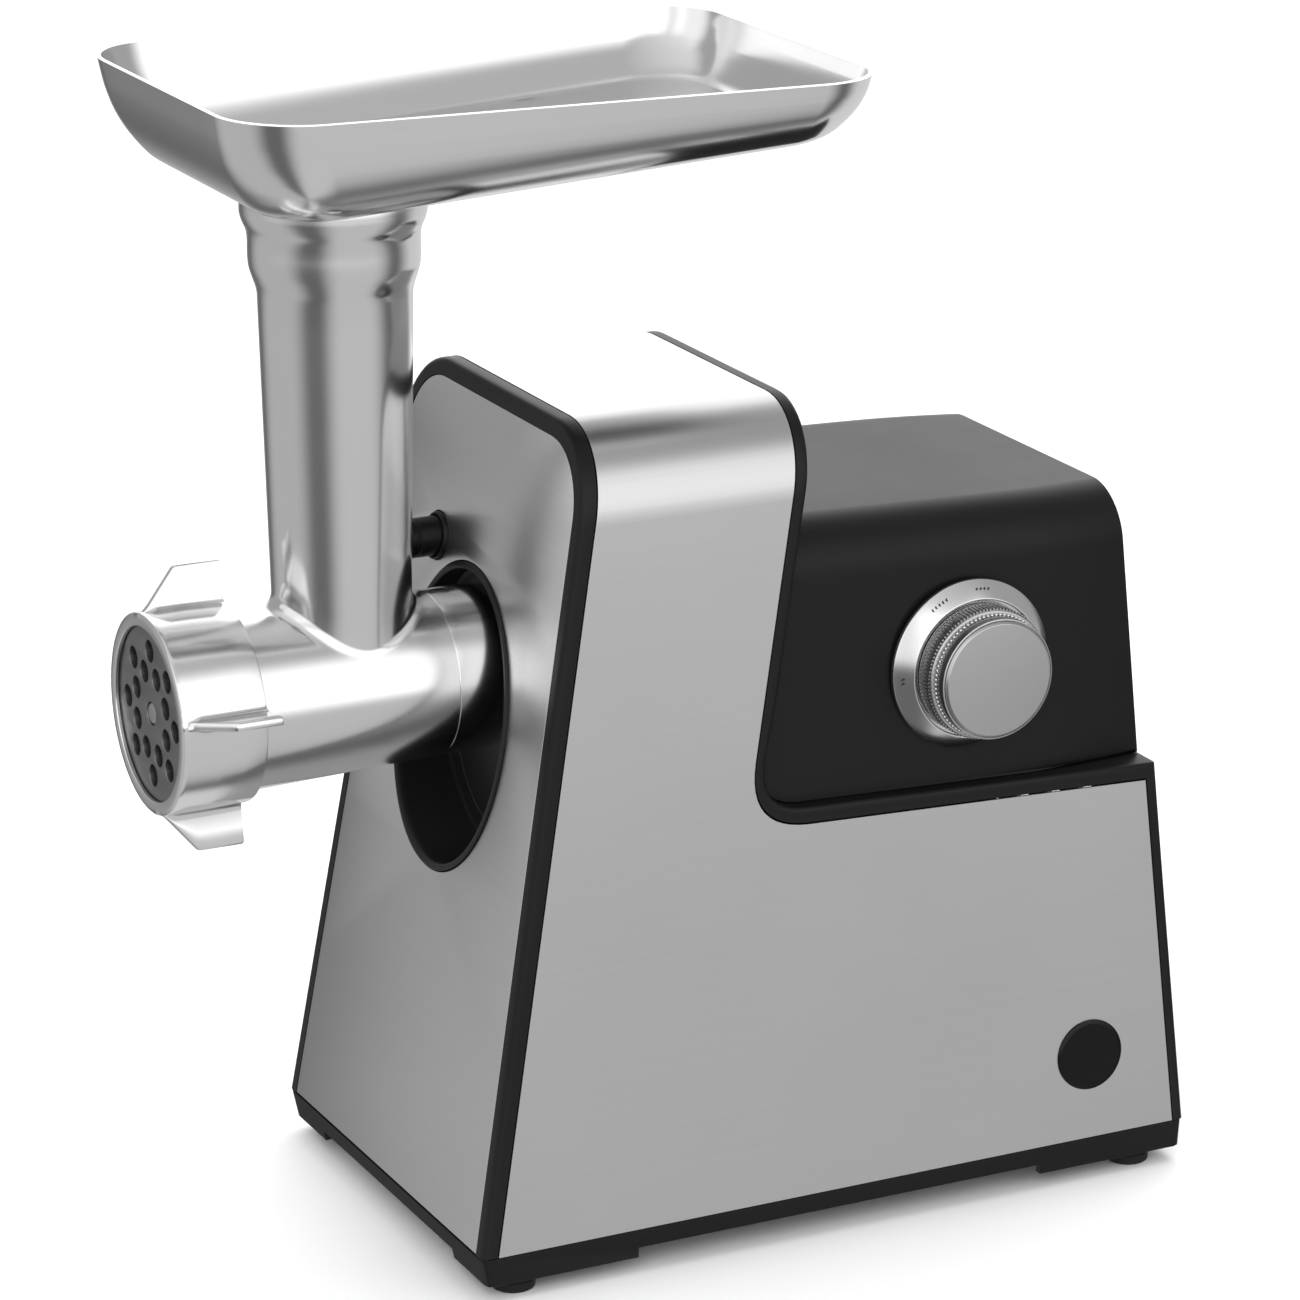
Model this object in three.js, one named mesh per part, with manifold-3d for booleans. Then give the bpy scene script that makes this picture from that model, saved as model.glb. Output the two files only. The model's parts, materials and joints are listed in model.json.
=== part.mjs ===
// Electric meat grinder, millimetres, +Z up, front towards -Y, dial on +X.
// Heights are counted from the lower edge of the base skirt; the outer group then
// puts the underside of the base wall at z = 0.
import * as THREE from 'three';
import { mergeVertices } from 'three/addons/utils/BufferGeometryUtils.js';
import Module from 'manifold-3d';

const wasm = await Module();
wasm.setup();

// ---------- driving dimensions ----------
const gap = 0.3; // left between pieces that touch

const baseHalfWidth = 75.2;
const baseHalfLength = 122;
const kinkHeight = 9.1; // where the skirt meets the body
const skirtLift = 3.2; // the skirt between its corner legs
const wall = 2.5;
const sideTaper = 0.047; // the sides lean in
const frontLean = 0.175; // the front leans back
const rearLean = 0.089; // the rear leans forward
const bodyHeight = 254.8;
const shoulderRadius = 26.8;

const steel = 1.0; // sheet thickness
const frameBorder = 5.0; // black border round the front plate
const frameDepth = 5.1; // the frame's width on the side
const wrapRear = -32.4; // rear edge of the tall part of the wrap, at panelHeight
const wrapRearLean = 0.176;
const panelHeight = 123.4; // top of the low side panel, at the rear
const panelSlope = 0.035; // rises towards the front
const trimTop = 5.2;
const trimRear = 4.1;
const trimBand = 4.6;
const panelCorner = 18.8;

const boxTop = 214.4; // motor casing's top at its rear edge
const boxInset = 4.7;
const boxRearInset = 8.9;
const boxShoulder = 16.5;

const axisHeight = 169.2; // barrel, auger and output shaft
const plateFace = -192.7;
const plateRadius = 26.8;
const plateThickness = 4.5;
const plateHoleRadius = 3.4;
const studRadius = 3.3; // the auger's stud through the plate's middle
const tubeY = -131.3;
const tubeTop = 319.5;
const ringFront = -194.2;
const ringRear = -167.6;
const wingReach = 43;
const wingTurn = 9; // degrees

const rimHeight = 353.4; // the pan's rim, at its middle
const trayHalfWidth = 68.2;
const trayFront = -184.8;
const trayRear = 19.3;
const trayPitch = -0.019; // the rim rises a little towards the front
const trayFloor = 323.3; // underside of the pan's floor, over the tube
const trayFloorSlope = 0.054; // the floor falls towards the tube
const trayWall = 1.2;
const trayCorner = 24;

const socketFloor = -83;
const socketHalfWidth = 38.9;
const socketHalfHeight = 47;
const socketHeight = 154;

const buttonX = -27.3;
const buttonHeight = 203;
const buttonRadius = 6.1;

const dialY = 47.2;
const dialHeight = 168.6;
const dialRadius = 26.9;
const dialFace = 82.7;
const badgeY = 87.5;
const badgeHeight = 37;
const badgeRadius = 11.4;

const footX = 65.2;
const footY = 107.5;
const footRadius = 6.8;
const footDrop = 5.2;
const glandX = 30;
const glandHeight = 34;

// gear train: teeth and module of each pair, from the output back to the motor
const outputTeeth = 32;
const outputModule = 1.88;
const pinionTeeth = 8;
const middleTeeth = 32;
const firstTeeth = 30;
const motorTeeth = 8;
const fineModule = 1.25;
const middleHeight = axisHeight - (outputTeeth + pinionTeeth) * outputModule / 2;
const firstHeight = middleHeight - (middleTeeth + pinionTeeth) * fineModule / 2;
const motorHeight = firstHeight - (firstTeeth + motorTeeth) * fineModule / 2;

// ---------- materials ----------
const finish = (color, roughness, metalness) =>
  new THREE.MeshStandardMaterial({ color, roughness, metalness });
const brushedSteel = finish(0xb4b6b9, 0.35, 1);
const castMetal = finish(0xc9cacc, 0.25, 1);
const trayMetal = finish(0xd0d1d3, 0.22, 1);
const blackPlastic = finish(0x1e1e1f, 0.5, 0);
const darkPlastic = finish(0x2a2a2c, 0.6, 0);
const rubber = finish(0x111111, 0.9, 0);
const plateSteel = finish(0x6c6d70, 0.4, 1);
const nylon = finish(0xe8e4d8, 0.5, 0);
const steelParts = finish(0x8d9096, 0.3, 1);
const copper = finish(0xb06a3a, 0.4, 1);
const board = finish(0x8a7a4a, 0.7, 0);

// ---------- solids ----------
function signedVolume(points, triangles) {
  const [a, b, c] = [new THREE.Vector3(), new THREE.Vector3(), new THREE.Vector3()];
  let volume = 0;
  for (let i = 0; i < triangles.length; i += 3) {
    [a, b, c].forEach((corner, k) => corner.fromArray(points, 3 * triangles[i + k]));
    volume += a.dot(b.cross(c)) / 6;
  }
  return volume;
}

// a three.js geometry with its doubled points merged, as a solid that can be joined and cut
function toSolid(geometry) {
  const bare = geometry.clone();
  bare.deleteAttribute('normal');
  bare.deleteAttribute('uv');
  const merged = mergeVertices(bare, 1e-4);
  const points = merged.attributes.position.array;
  const triangles = [];
  for (let i = 0; i < merged.index.count; i += 3) {
    const [a, b, c] = merged.index.array.slice(i, i + 3);
    if (a !== b && b !== c && c !== a) triangles.push(a, b, c);
  }
  if (signedVolume(points, triangles) < 0) triangles.reverse();
  return new wasm.Manifold(
    new wasm.Mesh({
      numProp: 3,
      vertProperties: Float32Array.from(points),
      triVerts: Uint32Array.from(triangles),
    }),
  );
}

function toGeometry(solid) {
  const mesh = solid.getMesh();
  const geometry = new THREE.BufferGeometry();
  geometry.setAttribute('position', new THREE.BufferAttribute(mesh.vertProperties, 3));
  geometry.setIndex(new THREE.BufferAttribute(mesh.triVerts, 1));
  return geometry;
}

const join = (first, ...others) => others.reduce((whole, piece) => whole.add(piece), first);
const cut = (first, ...others) => others.reduce((rest, piece) => rest.subtract(piece), first);
const meet = (first, ...others) => others.reduce((both, piece) => both.intersect(piece), first);

// an outline pushed along one axis; the outline's own axes are x,z for Y, y,z for X and x,y for Z
const acrossY = new THREE.Matrix4().makeBasis(
  new THREE.Vector3(1, 0, 0), new THREE.Vector3(0, 0, 1), new THREE.Vector3(0, -1, 0));
const acrossX = new THREE.Matrix4().makeBasis(
  new THREE.Vector3(0, 1, 0), new THREE.Vector3(0, 0, 1), new THREE.Vector3(1, 0, 0));

function push(shape, length, curveSegments = 12) {
  return new THREE.ExtrudeGeometry(shape, { depth: length, bevelEnabled: false, curveSegments });
}
const alongY = (shape, from, to, curveSegments) =>
  toSolid(push(shape, to - from, curveSegments).applyMatrix4(acrossY).translate(0, to, 0));
const alongX = (shape, from, to, curveSegments) =>
  toSolid(push(shape, to - from, curveSegments).applyMatrix4(acrossX).translate(from, 0, 0));
const alongZ = (shape, from, to, curveSegments) =>
  toSolid(push(shape, to - from, curveSegments).translate(0, 0, from));

const outlineOf = (points) => new THREE.Shape(points.map(([u, v]) => new THREE.Vector2(u, v)));

function circle(radius, u = 0, v = 0) {
  return new THREE.Shape().absarc(u, v, radius, 0, Math.PI * 2);
}

// a profile of [radius, distance along the axis] turned round Y, Z or X
function turned(profile, axis = 'y', segments = 32) {
  const points = profile.map(([radius, along]) => new THREE.Vector2(radius, along));
  const geometry = new THREE.LatheGeometry(points, segments);
  if (axis === 'z') geometry.rotateX(Math.PI / 2);
  if (axis === 'x') geometry.rotateZ(-Math.PI / 2);
  return toSolid(geometry);
}

const rod = (radius, from, to, axis, segments = 16) =>
  turned([[0, from], [radius, from], [radius, to], [0, to]], axis, segments);

const block = (lowest, highest) => {
  const [low, high] = [new THREE.Vector3(...lowest), new THREE.Vector3(...highest)];
  const size = high.clone().sub(low);
  const centre = low.add(high).multiplyScalar(0.5);
  return toSolid(new THREE.BoxGeometry(size.x, size.y, size.z).translate(centre.x, centre.y, centre.z));
};

// rings of the same number of points, skinned from the first to the last and closed at both ends;
// height is the second axis, beside x, in which a ring's own outline lies
function loft(rings, height = 'y') {
  const count = rings[0].length;
  const points = rings.flat().flatMap((p) => p.toArray());
  const triangles = [];
  for (let r = 0; r + 1 < rings.length; r++) {
    for (let i = 0; i < count; i++) {
      const [a, b] = [r * count + i, r * count + (i + 1) % count];
      triangles.push(a, b, b + count, a, b + count, a + count);
    }
  }
  const face = rings[0].map((p) => new THREE.Vector2(p.x, p[height]));
  const last = (rings.length - 1) * count;
  for (const [a, b, c] of THREE.ShapeUtils.triangulateShape(face, [])) {
    triangles.push(a, c, b, last + a, last + b, last + c);
  }
  const geometry = new THREE.BufferGeometry();
  geometry.setAttribute('position', new THREE.Float32BufferAttribute(points, 3));
  geometry.setIndex(triangles);
  return toSolid(geometry);
}

const placed = (solid, x, y, z) => solid.translate([x, y, z]);
const turnedAbout = (solid, degreesX, degreesY, degreesZ) => solid.rotate([degreesX, degreesY, degreesZ]);

// ---------- the assembly ----------
const grinder = new THREE.Group();
grinder.position.z = -skirtLift;

function add(name, solid, material, x = 0, y = 0, z = 0) {
  const mesh = new THREE.Mesh(toGeometry(solid), material);
  mesh.name = name;
  mesh.position.set(x, y, z);
  grinder.add(mesh);
  return mesh;
}

// ---------- body outlines ----------
const frontY = (z) => -baseHalfLength + frontLean * (z - kinkHeight);
const rearY = (z) => baseHalfLength - rearLean * (z - kinkHeight);
const sideX = (z) => baseHalfWidth - sideTaper * (z - kinkHeight);
const wrapRearY = (z) => wrapRear + wrapRearLean * (z - panelHeight);
const panelTop = (y) => panelHeight + panelSlope * (rearY(panelHeight) - y);
const boxTopAt = (y) => boxTop + 0.033 * (rearY(boxTop) - y);

// cross-section of the body: leaning sides and rounded shoulders, drawn inset from the outside
function bodyOutline(inset, bottom, top = bodyHeight, side = sideX, radius = shoulderRadius) {
  const crown = top - inset;
  const round = Math.max(radius - inset, 1);
  const edge = (z) => side(z) - inset;
  const arcCentre = edge(crown - round) - round;
  const shape = new THREE.Shape();
  shape.moveTo(-edge(bottom), bottom);
  shape.lineTo(edge(bottom), bottom);
  shape.absarc(arcCentre, crown - round, round, 0, Math.PI / 2);
  shape.absarc(-arcCentre, crown - round, round, Math.PI / 2, Math.PI);
  return shape;
}
const bodyPrism = (inset, bottom = kinkHeight + gap) => alongY(bodyOutline(inset, bottom), -140, 140, 5);

// side profile, y and z: the steel wrap's outline, or the trim's when grown behind the steel
function sideProfile(behind, above, rearEdge, front = frameDepth + gap, radius = panelCorner) {
  const bottom = kinkHeight + gap;
  const crown = bodyHeight + 5;
  const corner = new THREE.Vector2(wrapRearY(panelTop(wrapRear)) + behind, panelTop(wrapRear) + above);
  const up = new THREE.Vector2(wrapRearLean, 1).normalize();
  const back = new THREE.Vector2(1, -panelSlope).normalize();
  const bend = Math.PI - Math.acos(up.dot(back));
  const tangent = radius * Math.tan(bend / 2);
  const start = corner.clone().addScaledVector(back, tangent);
  const end = corner.clone().addScaledVector(up, tangent);
  const rear = (z) => rearY(z) - rearEdge;
  const shape = new THREE.Shape();
  shape.moveTo(frontY(bottom) + front, bottom);
  shape.lineTo(rear(bottom), bottom);
  shape.lineTo(rear(panelHeight + above), panelHeight + above);
  shape.lineTo(start.x, start.y);
  shape.quadraticCurveTo(corner.x, corner.y, end.x, end.y);
  shape.lineTo(wrapRearY(crown) + behind, crown);
  shape.lineTo(frontY(crown) + front, crown);
  return shape;
}
const sidePrism = (...sizes) => alongX(sideProfile(...sizes), -90, 90, 5);
const trimCorner = panelCorner - trimBand;
const trimPrism = () => sidePrism(trimBand, trimTop, 0, frameDepth + gap, trimCorner);

// everything between two planes that lean with the front
function frontSlab(from, to, bottom = 0, top = bodyHeight + 10) {
  return alongX(
    outlineOf([
      [frontY(bottom) + from, bottom], [frontY(bottom) + to, bottom],
      [frontY(top) + to, top], [frontY(top) + from, top],
    ]), -100, 100);
}

function oval(halfWidth, halfHeight) {
  return new THREE.Shape().absellipse(0, socketHeight, halfWidth, halfHeight, 0, Math.PI * 2);
}
const socketPrism = (grow, from, to) =>
  alongY(oval(socketHalfWidth + grow, socketHalfHeight + grow), from, to, 16);
const buttonHole = (radius) => placed(rod(radius, -130, -60, 'y'), buttonX, 0, buttonHeight);
const collarHole = () => buttonHole(buttonRadius + 1.2 + gap);

// ---------- base ----------
function roundedRing(halfX, frontEdge, rearEdge, radius, z, steps = 4) {
  const ring = [];
  const corners = [[1, 1, 0], [-1, 1, 1], [-1, -1, 2], [1, -1, 3]];
  for (const [sx, sy, quarter] of corners) {
    const centre = [sx * (halfX - radius), sy > 0 ? rearEdge - radius : frontEdge + radius];
    for (let i = 0; i <= steps; i++) {
      const angle = (quarter + i / steps) * Math.PI / 2;
      ring.push(new THREE.Vector3(
        centre[0] + radius * Math.cos(angle), centre[1] + radius * Math.sin(angle), z));
    }
  }
  return ring;
}

const screwX = 50;
const screwY = 96;
const baseScrews = [[-screwX, -screwY], [screwX, -screwY], [-screwX, screwY], [screwX, screwY]];
const shankRadius = 2;

function baseMoulding() {
  const [halfX, halfY] = [baseHalfWidth, baseHalfLength];
  const [skirtWall, frontWall, corner] = [3.2, 4.6, 2.5];
  const [padHalfX, padHalfY, padRise] = [30, 40, 0.4]; // flat pad in the middle of the underside
  const outside = loft([
    roundedRing(halfX - 0.4, -halfY + 1.9, halfY - 0.4, corner, 0, 2),
    roundedRing(halfX, -halfY, halfY, corner, kinkHeight, 2),
  ]);
  const inside = (from, to) =>
    block([-halfX + skirtWall, -halfY + frontWall, from], [halfX - skirtWall, halfY - skirtWall, to]);
  const [sideNotch, endNotch] = [70, 50];
  const screwHole = (x, y) => placed(rod(shankRadius + 0.6, -1, 20, 'z', 8), x, y, 0);
  return cut(
    outside,
    cut(inside(-1, skirtLift + padRise), block([-padHalfX, -padHalfY, skirtLift], [padHalfX, padHalfY, kinkHeight])),
    inside(skirtLift + wall, kinkHeight + 1),
    block([-90, -sideNotch, -1], [90, sideNotch, skirtLift]),
    block([-endNotch, -140, -1], [endNotch, 140, skirtLift]),
    ...baseScrews.map(([x, y]) => screwHole(x, y)),
  );
}
add('base_moulding', baseMoulding(), blackPlastic);

const foot = turned([
  [0, -footDrop], [footRadius - 1, -footDrop], [footRadius, -footDrop + 1],
  [footRadius, skirtLift - gap], [0, skirtLift - gap],
], 'z', 16);
for (const [end, y] of [['front', -footY], ['rear', footY]]) {
  for (const [side, x] of [['left', -footX], ['right', footX]]) {
    add(`foot_${end}_${side}`, foot, rubber, x, y);
  }
}

// ---------- body ----------
const ledgeWidth = 13; // how far the ledge round the casing reaches in
function housingShell() {
  const lining = meet(cut(bodyPrism(steel + gap), bodyPrism(steel + gap + wall)), trimPrism());
  const strip = cut(trimPrism(), sidePrism(gap, gap, trimRear - gap));
  const ledge = meet(cut(bodyPrism(0), bodyPrism(ledgeWidth)), strip);
  const backWall = meet(bodyPrism(1), strip, block([-90, -140, boxTop - 4], [90, 140, bodyHeight + 1]));
  return join(lining, ledge, backWall);
}
add('housing_shell', housingShell(), blackPlastic);

function sideWrap() {
  return meet(cut(bodyPrism(0), bodyPrism(steel)), sidePrism(0, 0, trimRear));
}
add('side_wrap', sideWrap(), brushedSteel);

function frontFrame() {
  const slab = meet(bodyPrism(0), frontSlab(0, frameDepth));
  const pocket = meet(bodyPrism(frameBorder, kinkHeight + gap), frontSlab(-5, steel + gap));
  const back = meet(bodyPrism(wall, kinkHeight + 4), frontSlab(steel + gap + 2.2, 20));
  return cut(slab, pocket, back, socketPrism(gap, -140, -40), collarHole());
}
add('front_frame', frontFrame(), blackPlastic);

function frontPlate() {
  const sheet = meet(bodyPrism(frameBorder + gap, kinkHeight + 2 * gap), frontSlab(0.1, steel + 0.1));
  return cut(sheet, socketPrism(gap, -140, -40), collarHole());
}
add('front_plate', frontPlate(), brushedSteel);

// motor casing: sections along y, drawn in a little more towards the rear
const drawInStart = 65;
function boxSection(y, inset) {
  const drawIn = Math.max(0, (y - drawInStart) / (rearY(boxTop) - drawInStart)) ** 2;
  const side = (z) => sideX(z) - boxInset - drawIn * (boxRearInset - boxInset);
  const outline = bodyOutline(inset, 118, boxTopAt(y), side, boxShoulder);
  return outline.getPoints(5).slice(0, -1).map((p) => new THREE.Vector3(p.x, y, p.y));
}
function boxLoft(inset) {
  const stations = [-60, drawInStart, 84, 104, 125];
  return loft(stations.map((y) => boxSection(y, inset)), 'z');
}
function boxProfile(behind, above, rearEdge) {
  const shape = sideProfile(trimBand + behind, trimTop + above, -5, 0, trimCorner);
  const rear = outlineOf([[-120, -20], [rearY(-20) - rearEdge, -20], [rearY(300) - rearEdge, 300], [-120, 300]]);
  return cut(alongX(rear, -90, 90), alongX(shape, -95, 95, 5));
}
function motorHousing() {
  const shell = meet(boxLoft(0), boxProfile(gap, gap, 0));
  const hollow = meet(boxLoft(wall), boxProfile(-20, -20, wall));
  const dialHole = placed(rod(dialRadius - 3, 30, 90, 'x', 28), 0, dialY, dialHeight);
  const vents = [];
  for (let i = 0; i < 5; i++) {
    const z = 150 + 10 * i;
    vents.push(block([-32, rearY(z) - 8, z], [32, rearY(z) + 8, z + 3.5]));
  }
  return cut(shell, hollow, dialHole, ...vents);
}
add('motor_housing', motorHousing(), blackPlastic);

function rearPanel() {
  const [bottom, top] = [kinkHeight + 2 * gap, panelHeight + trimTop];
  const slab = alongX(
    outlineOf([
      [rearY(bottom) - wall, bottom], [rearY(bottom), bottom], [rearY(top), top], [rearY(top) - wall, top],
    ]), -baseHalfWidth, baseHalfWidth);
  const plate = meet(slab, bodyPrism(ledgeWidth + gap, bottom));
  const slots = [];
  for (let i = 0; i < 6; i++) {
    const z = 66 + 8 * i;
    slots.push(block([-34, 90, z], [34, 140, z + 3.4]));
  }
  return cut(plate, ...slots, placed(rod(8.3, 90, 140, 'y'), glandX, 0, glandHeight));
}
add('rear_panel', rearPanel(), darkPlastic);

// inlet gland for the mains lead: a flanged bush through the rear panel
const glandY = rearY(glandHeight);
add('inlet_gland', turned([
  [4, -9], [8, -9], [8, 1.4], [10.5, 1.4], [10.5, 3.6], [6, 8], [4, 8], [4, -9],
], 'y', 16), rubber, glandX, glandY, glandHeight);

add('badge_disc', turnedAbout(rod(badgeRadius, 0.2, 1, 'x', 32), 0, -THREE.MathUtils.radToDeg(Math.atan(sideTaper)), 0),
  blackPlastic, sideX(badgeHeight), badgeY, badgeHeight);

// ---------- socket, bayonet and release button ----------
const sleeveRadius = 19.5;
const earRadius = 23;
const earAngle = 20; // half of an ear, degrees
const headTwist = 45; // turn that frees the head

function earRing(radius, halfAngle, from, to, turn) {
  const ears = [];
  for (let i = 0; i < 3; i++) {
    const middle = Math.PI / 2 + (turn + 120 * i) * Math.PI / 180;
    const half = halfAngle * Math.PI / 180;
    const sector = new THREE.Shape().absarc(0, 0, radius, middle - half, middle + half).lineTo(0, 0);
    ears.push(alongY(sector, from, to, 6));
  }
  return join(...ears);
}

function headSocket() {
  const front = frontSlab(-0.7, 80);
  const dish = meet(socketPrism(0, -140, socketFloor + 3), front);
  const inside = socketPrism(-2.4, -140, socketFloor);
  const mouth = placed(rod(sleeveRadius + gap, -120, -60, 'y', 32), 0, 0, axisHeight);
  const notches = placed(earRing(earRadius + gap, earAngle + 2, -90, -70, -headTwist), 0, 0, axisHeight);
  return cut(dish, inside, mouth, notches);
}
add('head_socket', headSocket(), blackPlastic);

const buttonPlane = frontY(buttonHeight);
const collarRadius = buttonRadius + 1.2;
add('button_collar', cut(
  meet(placed(rod(collarRadius, buttonPlane - 4, buttonPlane + 8, 'y', 20), buttonX, 0, buttonHeight), frontSlab(-1.2, 8)),
  buttonHole(buttonRadius + gap)), blackPlastic);

const buttonStem = 2.6;
const buttonProud = 13.5; // how far the button stands out of the front
add('release_button', turned([
  [0, -buttonProud], [buttonRadius - 0.8, -buttonProud], [buttonRadius, -buttonProud + 0.8], [buttonRadius, 3.5],
  [buttonStem, 3.5], [buttonStem, 24], [0, 24],
], 'y', 20), darkPlastic, buttonX, buttonPlane, buttonHeight);

class Helix extends THREE.Curve {
  constructor(radius, turns, from, to) {
    super();
    Object.assign(this, { radius, turns, from, to });
  }
  getPoint(t, target = new THREE.Vector3()) {
    const angle = t * this.turns * Math.PI * 2;
    return target.set(
      this.radius * Math.cos(angle), THREE.MathUtils.lerp(this.from, this.to, t), this.radius * Math.sin(angle));
  }
}
const springGuide = 17; // the guide plate behind the button
add('button_spring', toSolid(new THREE.ExtrudeGeometry(circle(0.45), {
  steps: 36, curveSegments: 3, extrudePath: new Helix(4, 3, 4.6, springGuide - 1),
})), steelParts, buttonX, buttonPlane, buttonHeight);

add('button_guide', cut(
  block([-9, springGuide, -4.5], [3.2, springGuide + 2.5, 7]),
  rod(buttonStem + gap, 0, 40, 'y', 12)), darkPlastic, buttonX, buttonPlane, buttonHeight);

// ---------- dial and switch ----------
const dialSeat = sideX(dialHeight) - boxInset;
add('dial_bezel', cut(turned([
  [9, -6], [dialRadius - 3.4, -6], [dialRadius - 3.4, 1.2], [dialRadius, 1.6], [dialRadius, 2.4],
  [dialRadius - 1.2, 4.2], [22, 6.6], [21.4, 6.6], [21.4, 5], [9, 5], [9, -6],
], 'x', 32), rod(4, -10, 10, 'x')), brushedSteel, dialSeat + 0.3, dialY, dialHeight);

const knobLength = dialFace - dialSeat;
add('dial_knob', turned([
  [0, 5.8], [20.6, 5.8], [20.8, 7.4], [20.4, 14], [19.4, 14.4], [19.2, knobLength - 1.5],
  [18.4, knobLength - 1.5], [18.4, knobLength - 2], [0, knobLength - 2],
], 'x', 32).add(rod(3.4, -14, 6, 'x', 12)), brushedSteel, dialSeat, dialY, dialHeight);
add('knob_cap', turned([
  [0, -1.6], [18.1, -1.6], [18.1, -0.6], [17.5, 0], [0, 0],
], 'x', 32), brushedSteel, dialFace, dialY, dialHeight);

add('rotary_switch', cut(
  block([dialSeat - 36, dialY - 15, dialHeight - 18], [dialSeat - 7, dialY + 15, dialHeight + 18]),
  placed(rod(3.4 + gap, dialSeat - 15, dialSeat, 'x', 12), 0, dialY, dialHeight)), nylon);

add('suppressor_board', join(
  block([-26, 70, 128], [26, 100, 129.6]),
  block([-20, 74, 129.4], [-6, 94, 144]),
  placed(rod(6, 129.4, 146, 'z', 12), 6, 84, 0),
  block([16, 76, 129.4], [23, 92, 140])), board);

// ---------- gearbox ----------
const bearingRadius = 8;
const caseFront = -76;
const caseRear = -38;
function capsule(grow) {
  const [top, low] = [37 + grow, 25 + grow];
  const lowHeight = 90;
  const lean = Math.asin((top - low) / (axisHeight - lowHeight));
  const shape = new THREE.Shape();
  shape.absarc(0, axisHeight, top, -lean, Math.PI + lean);
  shape.absarc(0, lowHeight, low, Math.PI + lean, Math.PI * 2 - lean);
  return shape;
}
const [outputRadius, middleRadius, firstRadius, motorRadius] = [9.6, 3.5, 3, 3.5];
const shaftFront = -75;
const shaftRear = -35;
const shaftHoles = (radii) => [
  [axisHeight, radii[0]], [middleHeight, radii[1]], [firstHeight, radii[2]], [motorHeight, radii[3]],
].filter(([, radius]) => radius > 0).map(([z, radius]) => placed(rod(radius, -100, 0, 'y'), 0, 0, z));

add('gearbox_case', cut(
  alongY(capsule(0), caseFront, caseRear), alongY(capsule(-wall), caseFront + wall, caseRear + 1),
  ...shaftHoles([14, middleRadius + 0.2, firstRadius + 0.2, 0])), castMetal);
add('gearbox_cover', cut(
  alongY(capsule(0), caseRear + gap, caseRear + 4),
  ...shaftHoles([10, middleRadius + 0.2, firstRadius + 0.2, bearingRadius + gap])), castMetal);

// a square bar along Y: the drive end of the auger, and the hole that it fits
const squareDrive = 4.3; // half of its side
const squareBar = (half, from, to) =>
  alongY(outlineOf([[-half, -half], [half, -half], [half, half], [-half, half]]), from, to);

// teeth as trapezoids, narrow enough to run with play
function gearOutline(teeth, module, phase) {
  const radius = teeth * module / 2;
  const pitch = Math.PI * 2 / teeth;
  const points = [];
  for (let i = 0; i < teeth; i++) {
    const middle = phase + i * pitch;
    for (const [r, part] of [[-1.25, -0.32], [0.85, -0.1], [0.85, 0.1], [-1.25, 0.32]]) {
      const angle = middle + part * pitch;
      const reach = radius + r * module;
      points.push([reach * Math.cos(angle), reach * Math.sin(angle)]);
    }
  }
  return outlineOf(points);
}
const gear = (teeth, module, from, to, phase) => alongY(gearOutline(teeth, module, phase), from, to);
const gapUp = (teeth) => Math.PI / 2 + Math.PI / teeth;
const downTooth = -Math.PI / 2;

// the output gear's bottom tooth stands in the pinion's top gap, and so on down the train
add('output_gear', cut(join(
  gear(outputTeeth, outputModule, -72, -58.5, downTooth),
  rod(outputRadius, -79.5, -40, 'y', 20)), squareBar(squareDrive + gap, -90, -62)),
steelParts, 0, 0, axisHeight);

add('middle_gear', join(
  gear(pinionTeeth, outputModule, -71.5, -57, gapUp(pinionTeeth)),
  gear(middleTeeth, fineModule, -57.2, -49, downTooth),
  rod(middleRadius, shaftFront, shaftRear, 'y', 12)), nylon, 0, 0, middleHeight);
add('first_gear', join(
  gear(pinionTeeth, fineModule, -57, -46.5, gapUp(pinionTeeth)),
  gear(firstTeeth, fineModule, -47, -40.5, downTooth),
  rod(firstRadius, shaftFront, shaftRear, 'y', 12)), nylon, 0, 0, firstHeight);

const bushFace = caseFront + wall + gap;
add('output_bush', turned([
  [9.9, bushFace - 4.1], [13.7, bushFace - 4.1], [13.7, bushFace], [16, bushFace], [16, bushFace + 0.9],
  [9.9, bushFace + 0.9], [9.9, bushFace - 4.1],
], 'y', 20), copper, 0, 0, axisHeight);

// ---------- motor ----------
const stackFront = -8;
const stackRear = 34;
const rotorRadius = 20;
add('motor_rotor', join(
  rod(motorRadius, -50, 66, 'y', 12),
  gear(motorTeeth, fineModule, -47, -40.5, gapUp(motorTeeth)),
  rod(rotorRadius, stackFront, stackRear, 'y', 24),
  rod(11, 39, 52, 'y')), steelParts, 0, 0, motorHeight);

function stator() {
  const outline = new THREE.Shape();
  const [w, h, r] = [36, 31, 8];
  outline.absarc(w - r, h - r, r, 0, Math.PI / 2);
  outline.absarc(-w + r, h - r, r, Math.PI / 2, Math.PI);
  outline.absarc(-w + r, -h + r, r, Math.PI, Math.PI * 1.5);
  outline.absarc(w - r, -h + r, r, Math.PI * 1.5, Math.PI * 2);
  return cut(alongY(outline, stackFront, stackRear, 6), rod(rotorRadius + 0.6, stackFront - 1, stackRear + 1, 'y', 24));
}
add('motor_stator', stator(), steelParts, 0, 0, motorHeight);

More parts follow.
